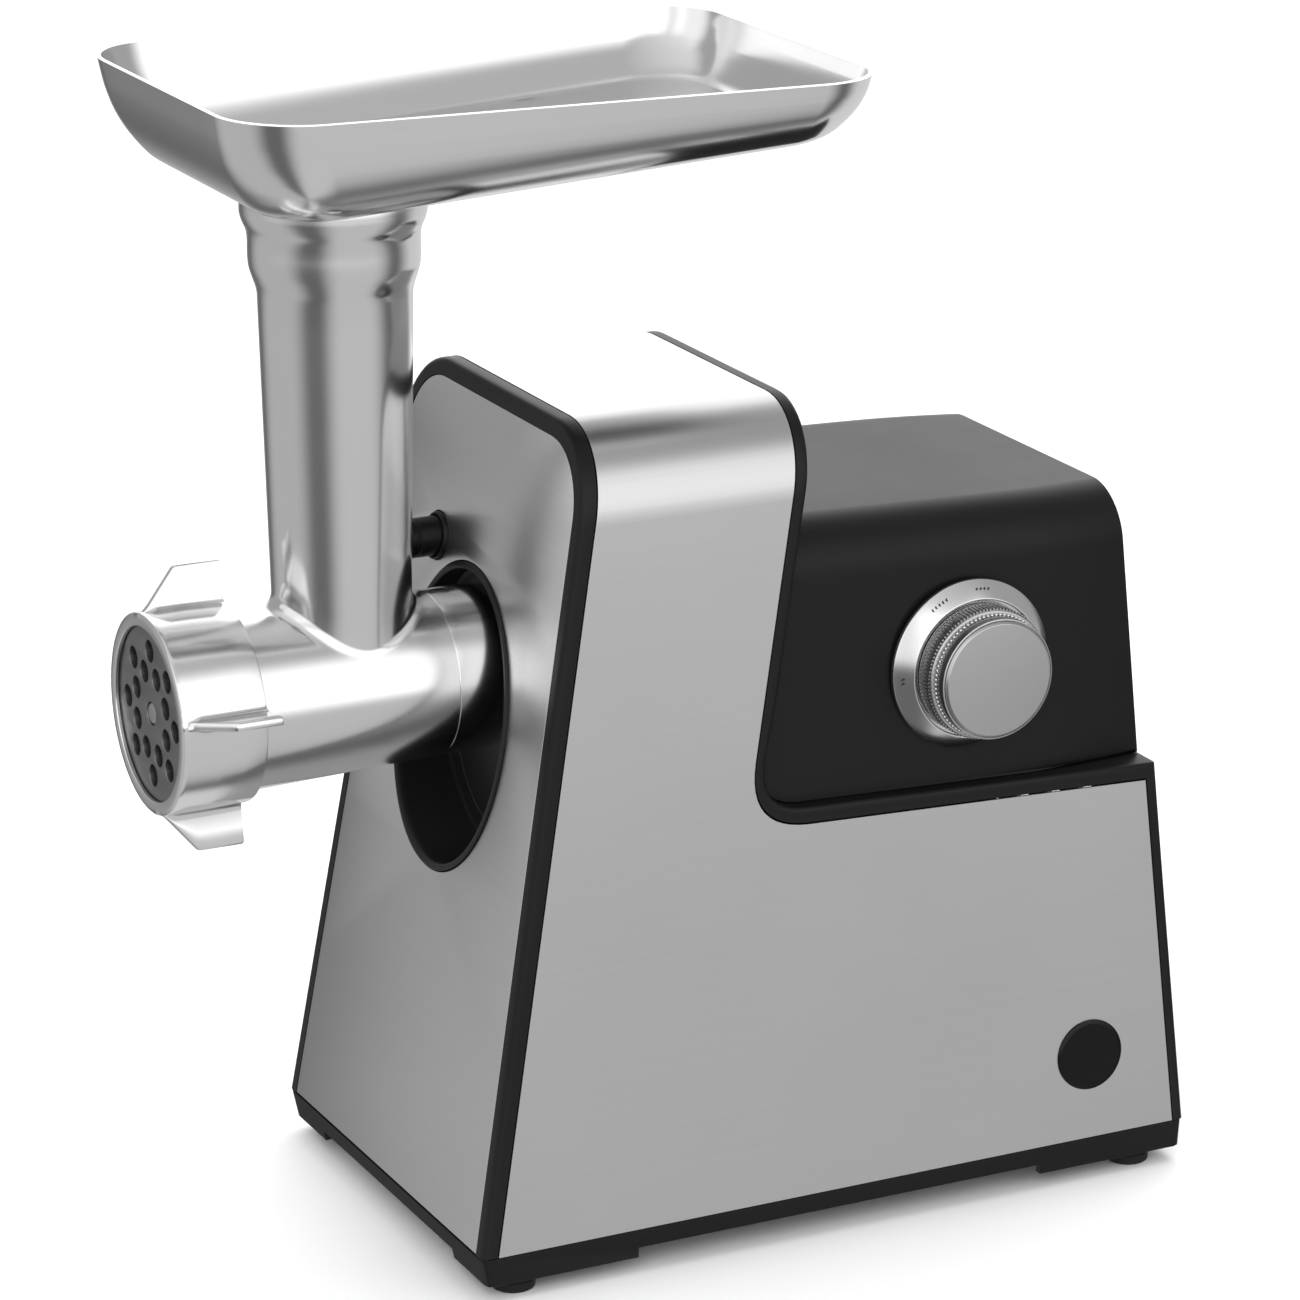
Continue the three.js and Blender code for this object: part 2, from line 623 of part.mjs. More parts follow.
for (const [side, s] of [['left', -1], ['right', 1]]) {
  const coil = new THREE.Shape();
  coil.absarc(s * 20, 0, 7, 0, Math.PI * 2);
  add(`field_coil_${side}`, alongY(coil, stackRear + gap, stackRear + 4.3, 10), copper, 0, 0, motorHeight);
  const holder = placed(block([-6.2, 42, -3.5], [6.2, 49, 3.5]), s * 17.8, 0, 0);
  add(`brush_holder_${side}`, holder, copper, 0, 0, motorHeight);
}

function fan() {
  const hub = rod(8, -27, -18, 'y');
  const disc = rod(29, -20, -18.4, 'y', 24);
  const blades = [];
  for (let i = 0; i < 8; i++) blades.push(turnedAbout(block([7, -27, -0.7], [28, -19, 0.7]), 0, 45 * i, 0));
  return cut(join(hub, disc, ...blades), rod(motorRadius + gap, -40, 0, 'y', 12));
}
add('motor_fan', fan(), darkPlastic, 0, 0, motorHeight);

const bearing = (bore, outer, from, to) =>
  turned([[bore, from], [outer, from], [outer, to], [bore, to], [bore, from]], 'y', 16);
add('motor_front_bearing', bearing(motorRadius + gap, bearingRadius, caseRear - 0.6, caseRear + 4.6), steelParts, 0, 0, motorHeight);
add('motor_rear_bearing', bearing(motorRadius + gap, bearingRadius, 58, 63), steelParts, 0, 0, motorHeight);

function rearBracket() {
  const bar = block([-34, 57, -9.5], [34, 64, 9.5]);
  const arm = (x) => block([x - 3, stackRear + gap, -8], [x + 3, 64, 8]);
  return cut(join(bar, arm(-31), arm(31)), rod(bearingRadius + 0.4, 40, 80, 'y', 16));
}
add('motor_bracket', rearBracket(), castMetal, 0, 0, motorHeight);

// cradle that carries the motor on the base wall
function motorCradle() {
  const floor = skirtLift + wall + gap;
  const plate = block([-40, -6, floor], [40, 32, floor + 3]);
  const rib = (y) => block([-30, y, floor], [30, y + 3, motorHeight - 31 - gap]);
  return join(plate, rib(-4), rib(27));
}
add('motor_cradle', motorCradle(), darkPlastic);

// ---------- screws ----------
const screw = turned([
  [0, -2.2], [4.2, -2.2], [4.2, 0], [shankRadius, 0.6], [shankRadius, 12], [0, 12],
], 'z', 8);
baseScrews.forEach(([x, y], i) => add(`base_screw_${i + 1}`, screw, steelParts, x, y, skirtLift - gap - 0.2));

// ---------- grinding head ----------
function grinderHead() {
  const at = (solid) => placed(solid, 0, 0, axisHeight);
  const barrelOutside = at(turned([
    [0, -191.2], [28.2, -191.2], [28.2, -168], [27.1, -167.4], [25.3, -104.2], [25, -103.8], [25, -86], [24, socketFloor - gap],
    [0, socketFloor - gap],
  ], 'y', 32));
  const sleeve = at(join(
    rod(sleeveRadius, -88, socketFloor + 5.3, 'y', 32),
    earRing(earRadius, earAngle, socketFloor + 3 + gap, socketFloor + 5.3, 0)));
  const tube = placed(turned([
    [0, 150], [20.6, 150], [20.9, 196], [22.9, 290.5], [23.2, 292], [25.1, 298], [25.4, 307.8], [27.4, 313.5],
    [27.5, 317.5], [26.9, tubeTop], [0, tubeTop],
  ], 'z', 32), 0, tubeY, 0);
  const collarSkirt = placed(turned([
    [0, 180], [26.5, 180], [23.5, 192.5], [21, 198], [0, 198],
  ], 'z', 32), 0, tubeY, 0);
  const chamber = at(turned([
    [0, -200], [plateRadius + 0.2, -200], [plateRadius + 0.2, plateFace + plateThickness + gap],
    [25, plateFace + plateThickness + gap], [25, -179], [22.5, -178], [22.5, -87], [0, -87],
  ], 'y', 32));
  const throat = placed(turned([
    [0, axisHeight], [18.8, axisHeight], [20.4, 290.5], [23.1, 299], [23.1, 330], [0, 330],
  ], 'z', 32), 0, tubeY, 0);
  const shaftBore = at(rod(10.2, -100, -70, 'y', 20));
  return cut(join(barrelOutside, sleeve, tube, collarSkirt), chamber, throat, shaftBore);
}
add('grinder_head', grinderHead(), castMetal);

const bladeDrive = 4.5; // half of the blade's square

// screw with one flight: a core with a lobe, turned a full turn each pitch
function auger() {
  const [front, rear, pitch, core, reach] = [-183.5, -92, 27, 8, 21.6];
  const steps = 42;
  const rings = [];
  for (let i = 0; i <= steps; i++) {
    const y = THREE.MathUtils.lerp(front, rear, i / steps);
    const turn = (y - front) / pitch * Math.PI * 2;
    const ring = [];
    for (let j = 0; j < 14; j++) {
      const around = j / 14 * Math.PI * 2;
      const lobe = Math.max(0, 1 - Math.abs(around - Math.PI) / 0.95);
      const radius = core + (reach - core) * Math.min(1, lobe * 2.2);
      const angle = around + turn;
      ring.push(new THREE.Vector3(radius * Math.cos(angle), y, radius * Math.sin(angle)));
    }
    rings.push(ring);
  }
  const stud = rod(studRadius, plateFace + 0.2, -180, 'y', 12);
  const bladeSquare = squareBar(bladeDrive, plateFace + plateThickness + gap, -182);
  const collar = rod(9.8, rear - 1, -82, 'y', 20);
  return join(loft(rings, 'z'), stud, bladeSquare, collar, squareBar(squareDrive, -83, -66));
}
add('auger', auger(), castMetal, 0, 0, axisHeight);

function crossBlade() {
  const from = plateFace + plateThickness + 0.5;
  const arms = [0, 90].map((turn) => {
    const outline = outlineOf([[-23.5, -3.2], [-6, -7], [6, -7], [23.5, -3.2], [23.5, 3.2], [6, 7], [-6, 7], [-23.5, 3.2]]);
    return turnedAbout(alongY(outline, from, from + 3.8), 0, turn + 20, 0);
  });
  return cut(join(...arms), squareBar(bladeDrive + gap, from - 1, from + 5));
}
add('cross_blade', crossBlade(), steelParts, 0, 0, axisHeight);

function cuttingPlate() {
  const disc = rod(plateRadius, plateFace, plateFace + plateThickness, 'y', 32);
  const hole = rod(plateHoleRadius, plateFace - 1, plateFace + plateThickness + 1, 'y', 10);
  const holes = [[19.25, 0], [12.7, 22.5]].flatMap(([ring, turn]) =>
    Array.from({ length: 8 }, (_, i) => {
      const angle = (turn + 45 * i) * Math.PI / 180;
      return placed(hole, ring * Math.cos(angle), 0, ring * Math.sin(angle));
    }));
  return cut(disc, ...holes, rod(studRadius + gap, plateFace - 1, plateFace + plateThickness + 1, 'y', 12));
}
add('cutting_plate', cuttingPlate(), plateSteel, 0, 0, axisHeight);

function ringNut() {
  const [lip, bore] = [26.3, 28.5];
  const ring = turned([
    [lip, ringFront], [29.6, ringFront], [30.4, ringFront + 0.9], [30.1, ringRear], [bore, ringRear],
    [bore, plateFace - gap], [lip, plateFace - gap], [lip, ringFront],
  ], 'y', 32);
  const side = outlineOf([[ringFront + 0.6, 29], [ringFront + 12.2, wingReach], [ringRear, wingReach], [ringRear, 29]]);
  const wing = alongX(side, -1.3, 1.3);
  const wings = [0, 1, 2, 3].map((i) => turnedAbout(wing, 0, 90 * i - wingTurn, 0));
  return join(ring, ...wings);
}
add('ring_nut', ringNut(), castMetal, 0, 0, axisHeight);

// ---------- tray ----------
const trayMiddle = (trayFront + trayRear) / 2;
const rimAt = (y) => rimHeight + trayPitch * (y - trayMiddle);
const floorAt = (y) => trayFloor + trayFloorSlope * (y - tubeY);

// one level of the pan: part is 0 at the rim and 1 at the floor, and the deep front end draws in more
function trayRing(inset, part, radius, lift = 0) {
  const [frontDraw, rearDraw] = [1.15, 0.7];
  const ring = roundedRing(
    trayHalfWidth - inset, trayFront + frontDraw * inset, trayRear - rearDraw * inset, radius, 0, 4);
  return ring.map((p) => p.setZ(THREE.MathUtils.lerp(rimAt(p.y), floorAt(p.y), part) + lift));
}

function hopperTray() {
  const levels = [
    [0, 0, 0], [1.4, 0.25, 0], [3.7, 0.48, 0], [7.6, 0.7, 1], [12, 0.86, 3], [18, 0.96, 6], [26, 1, 11],
  ];
  const ring = (inset, part, tighten, lift) => trayRing(inset, part, trayCorner - inset * 0.1 - tighten, lift);
  const pan = loft(levels.map(([inset, part, tighten]) => ring(inset, part, tighten)).reverse());
  const inside = levels.map(([inset, part, tighten]) => ring(inset + trayWall, part, tighten, trayWall * part));
  inside[0] = ring(trayWall, -0.05, 0);
  const hollow = loft(inside.reverse());
  const seat = tubeTop + gap;
  const spigot = placed(turned([
    [0, 303], [22.8, 303], [22.8, seat], [26.6, seat], [26.8, 321.6], [28.6, 323.6], [33, 325.2], [33, 326], [0, 326],
  ], 'z', 28), 0, tubeY, 0);
  const outlet = placed(turned([
    [0, 290], [21.4, 290], [21.4, 319], [23.4, 322.6], [27, 350], [0, 350],
  ], 'z', 28), 0, tubeY, 0);
  return cut(join(pan, spigot), hollow, outlet);
}
add('hopper_tray', hopperTray(), trayMetal);

export default grinder;
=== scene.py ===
# Electric meat grinder: the visible pieces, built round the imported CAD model.
import json
import math

import bmesh
import bpy
from mathutils import Matrix, Vector, geometry


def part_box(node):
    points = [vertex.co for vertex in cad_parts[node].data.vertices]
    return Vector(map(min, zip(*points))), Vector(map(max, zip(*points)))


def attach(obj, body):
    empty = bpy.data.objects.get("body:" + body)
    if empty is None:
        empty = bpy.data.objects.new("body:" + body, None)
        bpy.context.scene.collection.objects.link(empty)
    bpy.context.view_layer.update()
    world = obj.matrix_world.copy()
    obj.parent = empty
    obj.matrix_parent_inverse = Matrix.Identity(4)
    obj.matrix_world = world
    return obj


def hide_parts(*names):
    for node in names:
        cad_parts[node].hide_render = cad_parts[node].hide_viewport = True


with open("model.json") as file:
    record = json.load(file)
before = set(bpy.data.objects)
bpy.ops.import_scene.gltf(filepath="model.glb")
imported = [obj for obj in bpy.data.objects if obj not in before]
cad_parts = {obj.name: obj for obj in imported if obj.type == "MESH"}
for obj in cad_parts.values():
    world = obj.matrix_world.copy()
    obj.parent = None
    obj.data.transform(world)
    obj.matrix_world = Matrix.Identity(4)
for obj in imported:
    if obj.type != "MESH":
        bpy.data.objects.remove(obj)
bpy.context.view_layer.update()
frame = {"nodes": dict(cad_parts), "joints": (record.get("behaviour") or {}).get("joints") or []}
print("frame loaded:", len(frame["nodes"]), "nodes")

mm = 0.001
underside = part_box("base_moulding")[0].z / mm  # lower edge of the skirt; heights below count from it


# ---------- node helpers ----------
class Wire:  # one output socket; arithmetic on it adds Math nodes
    def __init__(self, nodes, socket):
        self.nodes, self.socket = nodes, socket

    def maths(self, operation, *values):
        return self.nodes.node("ShaderNodeMath", {"operation": operation}, dict(enumerate(values)))

    def out(self, name):
        return Wire(self.nodes, self.socket.node.outputs[name])

    def __add__(self, other):
        return self.maths("ADD", self, other)

    def __radd__(self, other):
        return self.maths("ADD", other, self)

    def __sub__(self, other):
        return self.maths("SUBTRACT", self, other)

    def __rsub__(self, other):
        return self.maths("SUBTRACT", other, self)

    def __mul__(self, other):
        return self.maths("MULTIPLY", self, other)

    def __rmul__(self, other):
        return self.maths("MULTIPLY", other, self)


class Nodes:  # a node tree, filled by one method
    def __init__(self, tree):
        self.tree = tree

    def node(self, kind, settings=None, values=None):
        made = self.tree.nodes.new(kind)
        for key, value in (settings or {}).items():
            if key == "stops":
                ramp = made.color_ramp.elements
                while len(ramp) < len(value):
                    ramp.new(1.0)
                for stop, (place, shade) in zip(ramp, value):
                    stop.position = place
                    stop.color = (shade, shade, shade, 1)
            else:
                setattr(made, key, value)
        for key, value in (values or {}).items():
            self.plug(made.inputs[key], value)
        return Wire(self, made.outputs[0])

    def plug(self, socket, value):
        if isinstance(value, Wire):
            self.tree.links.new(value.socket, socket)
        else:
            socket.default_value = value

    def noise(self, where, scale, detail=3.0, rough=0.55):
        return self.node("ShaderNodeTexNoise", {}, {
            "Vector": where, "Scale": scale, "Detail": detail, "Roughness": rough})

    def mix(self, factor, first, second):
        made = self.node("ShaderNodeMix", {"data_type": "RGBA"}, {0: factor, 6: first, 7: second})
        return Wire(self, made.socket.node.outputs[2])

    def band(self, value, *stops):
        return self.node("ShaderNodeValToRGB", {"stops": stops}, {"Fac": value})

    def ease(self, value, start, end):
        return self.node("ShaderNodeMapRange", {"interpolation_type": "SMOOTHSTEP"}, {
            "Value": value, "From Min": start, "From Max": end})


class Finish(Nodes):  # one material
    def __init__(self, name, metallic=0.0, **fixed):
        self.material = bpy.data.materials.new(name)
        self.material.use_nodes = True
        super().__init__(self.material.node_tree)
        self.shader = self.tree.nodes["Principled BSDF"]
        self.shader.inputs["Metallic"].default_value = metallic
        for socket, value in fixed.items():
            self.shader.inputs[socket.replace("_", " ")].default_value = value

    def feed(self, **sockets):
        for socket, value in sockets.items():
            self.plug(self.shader.inputs[socket.replace("_", " ")], value)
        return self.material

    def place(self, stretch=(1, 1, 1), turn=(0, 0, 0), centre=(0, 0, 0)):
        where = self.node("ShaderNodeTexCoord").out("Object")
        moved = self.node("ShaderNodeVectorMath", {"operation": "SUBTRACT"}, {0: where, 1: centre})
        return self.node("ShaderNodeMapping", {}, {"Vector": moved, "Rotation": turn, "Scale": stretch})

    def bump(self, height, strength, distance=0.0002):
        return self.node("ShaderNodeBump", {}, {
            "Strength": strength, "Distance": distance, "Height": height})

    def edges(self):  # 1 along worn outer edges
        point = self.node("ShaderNodeNewGeometry").out("Pointiness")
        return self.band(point, (0.53, 0.0), (0.62, 1.0))


# ---------- camera, floor and light ----------
cameraLook = {
    "azimuth": 63.688,
    "elevation": 17.716,
    "roll": -0.091,
    "distance": 1.5611,
    "lens": 141.15,
    "aim": (0.01002, -0.02869, 0.16554),
    "shift": (-0.0120, -0.0012),
}

studio = {
    "floor": 0.92,
    "top": 0.66,  # brightness overhead
    "topLean": -0.36,  # change in it from front to back
    "low": 0.15, "high": 0.42,  # brightness between the panels
}

# soft panels round the object: ring, degrees round from the dial's side, half its width, added brightness
panels = {
    "low left": ("low", -117, 56, 0.38),
    "low right": ("low", 8, 56, 0.47),
    "low far": ("low", 125, 58, 0.58),
    "left": ("high", -86, 38, 0.68),
    "main": ("high", 2, 62, 1.16),
    "fill": ("high", -48, 34, 0.3),
    "far": ("high", 148, 36, 1.4),
}

softboxes = {  # place, aim, size in metres, power in watts
    "overhead": ((-0.4, 0.3, 1.8), (0, -0.05, 0.1), (2.2, 2.0), 30),
    "window": ((1.3, -1.0, 1.1), (0, -0.05, 0.15), (0.9, 1.0), 8),
}


def makeCamera():
    camera = bpy.data.objects.new("camera", bpy.data.cameras.new("camera"))
    bpy.context.collection.objects.link(camera)
    turn, rise = math.radians(cameraLook["azimuth"]), math.radians(cameraLook["elevation"])
    back = Vector((math.sin(turn) * math.cos(rise), -math.cos(turn) * math.cos(rise), math.sin(rise)))
    roll = Matrix.Rotation(math.radians(cameraLook["roll"]), 4, back).to_quaternion()
    camera.rotation_mode = "QUATERNION"
    camera.rotation_quaternion = roll @ (-back).to_track_quat("-Z", "Y")
    camera.location = Vector(cameraLook["aim"]) + back * cameraLook["distance"]
    camera.data.sensor_width = 36
    camera.data.lens = cameraLook["lens"]
    camera.data.shift_x, camera.data.shift_y = cameraLook["shift"]
    camera.data.clip_end = 100
    bpy.context.scene.camera = camera


def makeSoftbox(name, place, aim, size, power):
    lamp = bpy.data.lights.new(name, "AREA")
    lamp.shape = "RECTANGLE"
    lamp.size, lamp.size_y = size
    lamp.energy = power
    holder = bpy.data.objects.new(name, lamp)
    bpy.context.collection.objects.link(holder)
    holder.location = place
    holder.rotation_mode = "QUATERNION"
    holder.rotation_quaternion = (Vector(aim) - Vector(place)).to_track_quat("-Z", "Y")
    holder.visible_glossy = False  # only the panels show in the metal


def makeFloor():
    bpy.ops.mesh.primitive_circle_add(
        vertices=96, radius=6, fill_type="NGON", location=(0, 0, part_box("foot_front_left")[0].z))
    floor = bpy.context.object
    floor.name = "floor"
    floor.visible_glossy = False  # the metal mirrors the soft panels, not the floor
    shade = studio["floor"]
    paint = Finish("studio floor", Specular_IOR_Level=0.1)
    floor.data.materials.append(paint.feed(Base_Color=(shade, shade, shade, 1), Roughness=0.9))


def makeSurroundings():
    world = bpy.data.worlds.new("studio")
    world.use_nodes = True
    bpy.context.scene.world = world
    sky = Nodes(world.node_tree)
    way = sky.node("ShaderNodeSeparateXYZ", {}, {"Vector": sky.node("ShaderNodeTexCoord").out("Generated")})
    rise = way.out("Z")
    level = way.maths("SQRT", 1.0001 - rise * rise)
    light = {"low": studio["low"], "high": studio["high"]}
    for ring, place, half, bright in panels.values():
        place, half = math.radians(place), math.radians(half)
        facing = way.out("X") * math.cos(place) + way.out("Y") * math.sin(place)
        facing = way.maths("DIVIDE", facing, level)
        light[ring] = sky.ease(facing, math.cos(half), math.cos(half * 0.35)) * bright + light[ring]
    upper = sky.ease(rise, -0.22, 0.03)
    overhead = sky.ease(rise, 0.62, 0.85)
    around = light["low"] * (1 - upper) + light["high"] * upper
    ceiling = way.out("Y") * studio["topLean"] + studio["top"]
    glow = around * (1 - overhead) + ceiling * overhead
    sky.plug(world.node_tree.nodes["Background"].inputs["Color"], glow)


def makeStudio():
    makeFloor()
    makeSurroundings()
    for name, setting in softboxes.items():
        makeSoftbox(name, *setting)
    bpy.context.scene.view_settings.view_transform = "Standard"


makeCamera()
makeStudio()
print("camera and studio set")


# ---------- materials ----------
def grey(shade, warm=0.0):
    return (shade * (1 + warm), shade, shade * (1 - warm), 1)


# metal with fine straight brushing; grain is the stretch, long in the direction with the small number
def brushedMetal(name, shade, rough, grain, streak=0.1, relief=0.06):
    made = Finish(name, 1.0)
    lines = made.noise(made.place(grain), 1.0, 4.0, 0.7)
    cloud = made.noise(made.place(), 14.0, 2.0)
    tone = made.mix(cloud, grey(shade * 0.975), grey(shade * 1.02))
    colour = made.mix(made.band(lines, (0.35, 0.0), (0.65, 1.0)) * streak, tone, grey(shade * 0.72))
    return made.feed(
        Base_Color=colour,
        Roughness=rough + lines * 0.08 + cloud * 0.05 - 0.065,
        Normal=made.bump(lines, relief, 0.00005))


# metal turned or ground in rings round an axis through centre
def turnedMetal(name, shade, rough, centre, axis, pitch=0.0004, relief=0.08):
    made = Finish(name, 1.0)
    where = made.place(centre=centre)
    flat = tuple(0.0 if i == "xyz".index(axis) else 1.0 for i in range(3))
    across = made.node("ShaderNodeVectorMath", {"operation": "MULTIPLY"}, {0: where, 1: flat})
    radius = made.node("ShaderNodeVectorMath", {"operation": "LENGTH"}, {0: across}).out("Value")
    rings = made.node("ShaderNodeTexNoise", {"noise_dimensions": "1D"}, {
        "W": radius * (1 / pitch), "Scale": 1.0, "Detail": 3.0})
    cloud = made.noise(where, 60.0, 2.0)
    colour = made.mix(rings * 0.35, grey(shade * 1.05), grey(shade * 0.78))
    return made.feed(
        Base_Color=colour,
        Roughness=rough + rings * 0.1 + cloud * 0.06 - 0.08,
        Normal=made.bump(rings, relief, 0.00005))


# cast and polished aluminium, with a faint ripple from the polishing wheel
def polishedCasting(name, shade, rough, ripple=0.05):
    made = Finish(name, 1.0)
    where = made.place()
    ripples = made.noise(where, 55.0, 2.0, 0.4)
    grain = made.noise(where, 1400.0, 2.0, 0.6)
    smear = made.noise(made.place((1, 0.25, 1)), 30.0, 3.0)
    colour = made.mix(smear, grey(shade), grey(shade * 0.93))
    height = ripples + grain * 0.05
    return made.feed(
        Base_Color=colour,
        Roughness=rough + smear * 0.08 + grain * 0.05 - 0.06,
        Normal=made.bump(height, ripple, 0.0003))


def mouldedPlastic(name, shade, rough, texture=0.12, scale=2600.0, wear=0.5):
    made = Finish(name, 0.0, IOR=1.49, Specular_IOR_Level=0.22)
    where = made.place()
    pebble = made.noise(where, scale, 2.0, 0.6)
    cloud = made.noise(where, 25.0, 3.0)
    worn = made.edges() * wear
    colour = made.mix(worn, made.mix(cloud, grey(shade * 0.9), grey(shade * 1.12)), grey(shade * 2.2 + 0.004))
    return made.feed(
        Base_Color=colour,
        Roughness=rough + pebble * 0.1 + cloud * 0.08 - 0.09,
        Normal=made.bump(pebble, texture, 0.00008))


def castMetal(name, shade, rough, warm=0.0, scale=700.0):
    made = Finish(name, 1.0)
    where = made.place()
    sand = made.noise(where, scale, 4.0, 0.65)
    cloud = made.noise(where, 40.0, 2.0)
    colour = made.mix(cloud, grey(shade * 0.88, warm), grey(shade * 1.05, warm))
    return made.feed(
        Base_Color=colour,
        Roughness=rough + sand * 0.18 - 0.09,
        Normal=made.bump(sand, 0.3, 0.0001))


def laminate(name):
    made = Finish(name)
    where = made.place((1, 1, 1))
    weave = made.node("ShaderNodeTexChecker", {}, {"Vector": where, "Scale": 900.0}).out("Fac")
    fleck = made.noise(where, 200.0)
    colour = made.mix(fleck, (0.30, 0.22, 0.08, 1), (0.40, 0.30, 0.12, 1))
    return made.feed(Base_Color=colour, Roughness=0.45 + fleck * 0.2, Normal=made.bump(weave, 0.1, 0.0001))


axisHeight = Vector(next(j for j in frame["joints"] if j["name"] == "screw_spin")["pos_m"]).z
dialCentre = Vector(next(j for j in frame["joints"] if j["name"] == "dial_turn")["pos_m"])

wrapSteel = brushedMetal("wrap brushed steel", 0.57, 0.30, (1500, 6, 1500))
plateSteel = brushedMetal("front plate brushed steel", 0.66, 0.30, (6, 1500, 1500))
trayAlloy = brushedMetal("tray drawn aluminium", 0.80, 0.16, (1200, 5, 1200), 0.05, 0.03)
headAlloy = polishedCasting("head polished aluminium", 0.78, 0.17)
ringAlloy = polishedCasting("ring nut polished aluminium", 0.82, 0.16, 0.03)
bladeSteel = turnedMetal("ground plate steel", 0.24, 0.38, (0, 0, axisHeight), "y")
dialSteel = turnedMetal("dial turned steel", 0.74, 0.2, dialCentre, "x")
knobSteel = turnedMetal("knob turned steel", 0.50, 0.30, dialCentre, "x", 0.0003)
partSteel = brushedMetal("machined steel", 0.42, 0.32, (300, 40, 300))
screwSteel = castMetal("auger cast metal", 0.5, 0.38)
alloyCase = castMetal("gearbox die casting", 0.55, 0.45)
casePlastic = mouldedPlastic("black casing plastic", 0.0045, 0.42)
trimPlastic = mouldedPlastic("black trim plastic", 0.0045, 0.40)
darkPlastic = mouldedPlastic("dark inner plastic", 0.02, 0.5, 0.2, 1800.0)
socketPlastic = mouldedPlastic("recess plastic", 0.009, 0.38, 0.05)
badgeGloss = mouldedPlastic("badge gloss black", 0.002, 0.1, 0.01, 900.0, 0.0)
footRubber = mouldedPlastic("rubber", 0.012, 0.75, 0.3, 1500.0, 0.2)
gearNylon = mouldedPlastic("natural nylon", 0.62, 0.42, 0.08, 1200.0, 0.0)
tickPaint = mouldedPlastic("dial tick paint", 0.03, 0.6, 0.05, 2000.0, 0.0)
coilCopper = castMetal("lacquered copper", 0.45, 0.3, 0.5, 1500.0)
bushBronze = castMetal("sintered bronze", 0.4, 0.45, 0.3, 1800.0)
boardLaminate = laminate("board laminate")
print("materials made")


# ---------- mesh helpers, sizes in millimetres, heights from the skirt's lower edge ----------
def meshPiece(name, points, faces, angle=32, merge=1e-4, outward=True):
    mesh = bpy.data.meshes.new(name)
    mesh.from_pydata([(x * mm, y * mm, (z + underside) * mm) for x, y, z in points], [], faces)
    shape = bmesh.new()
    shape.from_mesh(mesh)
    bmesh.ops.remove_doubles(shape, verts=shape.verts, dist=merge * mm * 10)
    bmesh.ops.dissolve_degenerate(shape, edges=shape.edges, dist=merge * mm)
    if outward:
        bmesh.ops.recalc_face_normals(shape, faces=shape.faces)
    shape.to_mesh(mesh)
    shape.free()
    piece = bpy.data.objects.new(name, mesh)
    bpy.context.collection.objects.link(piece)
    shade(piece, angle)
    return piece


def shade(piece, angle):
    piece.data.shade_smooth()
    piece.data.set_sharp_from_angle(angle=math.radians(angle))


def bake(piece, angle=32):  # modifiers become plain mesh
    solved = piece.evaluated_get(bpy.context.evaluated_depsgraph_get())
    mesh = bpy.data.meshes.new_from_object(solved)
    piece.modifiers.clear()
    piece.data = mesh
    shade(piece, angle)
    even = piece.modifiers.new("even shading", "WEIGHTED_NORMAL")  # flat faces stay flat beside rounded edges
    even.keep_sharp = True
    solved = piece.evaluated_get(bpy.context.evaluated_depsgraph_get())
    mesh = bpy.data.meshes.new_from_object(solved)
    piece.modifiers.clear()
    piece.data = mesh
    return piece


def thicken(piece, thickness, even=True):
    wallMaker = piece.modifiers.new("wall", "SOLIDIFY")
    wallMaker.thickness = thickness * mm
    wallMaker.offset = -1
    wallMaker.use_even_offset = even


def soften(piece, width, segments=2, angle=35):
    rounding = piece.modifiers.new("rounded edges", "BEVEL")
    rounding.width = width * mm
    rounding.segments = segments
    rounding.limit_method = "ANGLE"
    rounding.angle_limit = math.radians(angle)
    rounding.use_clamp_overlap = True
    rounding.loop_slide = False


def settle(piece, body, paint, slot, *nodes):
    piece.data.materials.clear()
    piece.data.materials.append(paint)
    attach(piece, body)
    if nodes:
        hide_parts(*nodes)
    return piece


def joined(name, *pieces):
    bpy.ops.object.select_all(action="DESELECT")
    for piece in pieces:
        piece.select_set(True)
    bpy.context.view_layer.objects.active = pieces[0]
    bpy.ops.object.join()
    pieces[0].name = name
    return pieces[0]


def skin(rings, closed=True, caps=(False, False)):
    count = len(rings[0])
    points = [p for ring in rings for p in ring]
    faces = []
    for r in range(len(rings) - 1):
        for i in range(count if closed else count - 1):
            a, b = r * count + i, r * count + (i + 1) % count
            faces.append((a, b, b + count, a + count))
    if caps[0]:
        faces.append(tuple(range(count))[::-1])
    if caps[1]:
        faces.append(tuple((len(rings) - 1) * count + i for i in range(count)))
    return points, faces


# profile of (radius, distance along the axis), turned round x, y or z through centre
def turned(profile, axis, centre=(0, 0, 0), steps=96, closed=False):
    rings = []
    for radius, along in profile:
        ring = []
        for i in range(steps):
            angle = i / steps * math.tau
            u, v = radius * math.cos(angle), radius * math.sin(angle)
            at = {"x": (along, u, v), "y": (u, along, v), "z": (u, v, along)}[axis]
            ring.append(tuple(c + p for c, p in zip(centre, at)))
        rings.append(ring)
    if closed:
        rings.append(rings[0])
    return skin(rings)


def turnedPiece(name, profile, axis, centre, steps=96, angle=32):
    return meshPiece(name, *turned(rounded(profile), axis, centre, steps), angle=angle)


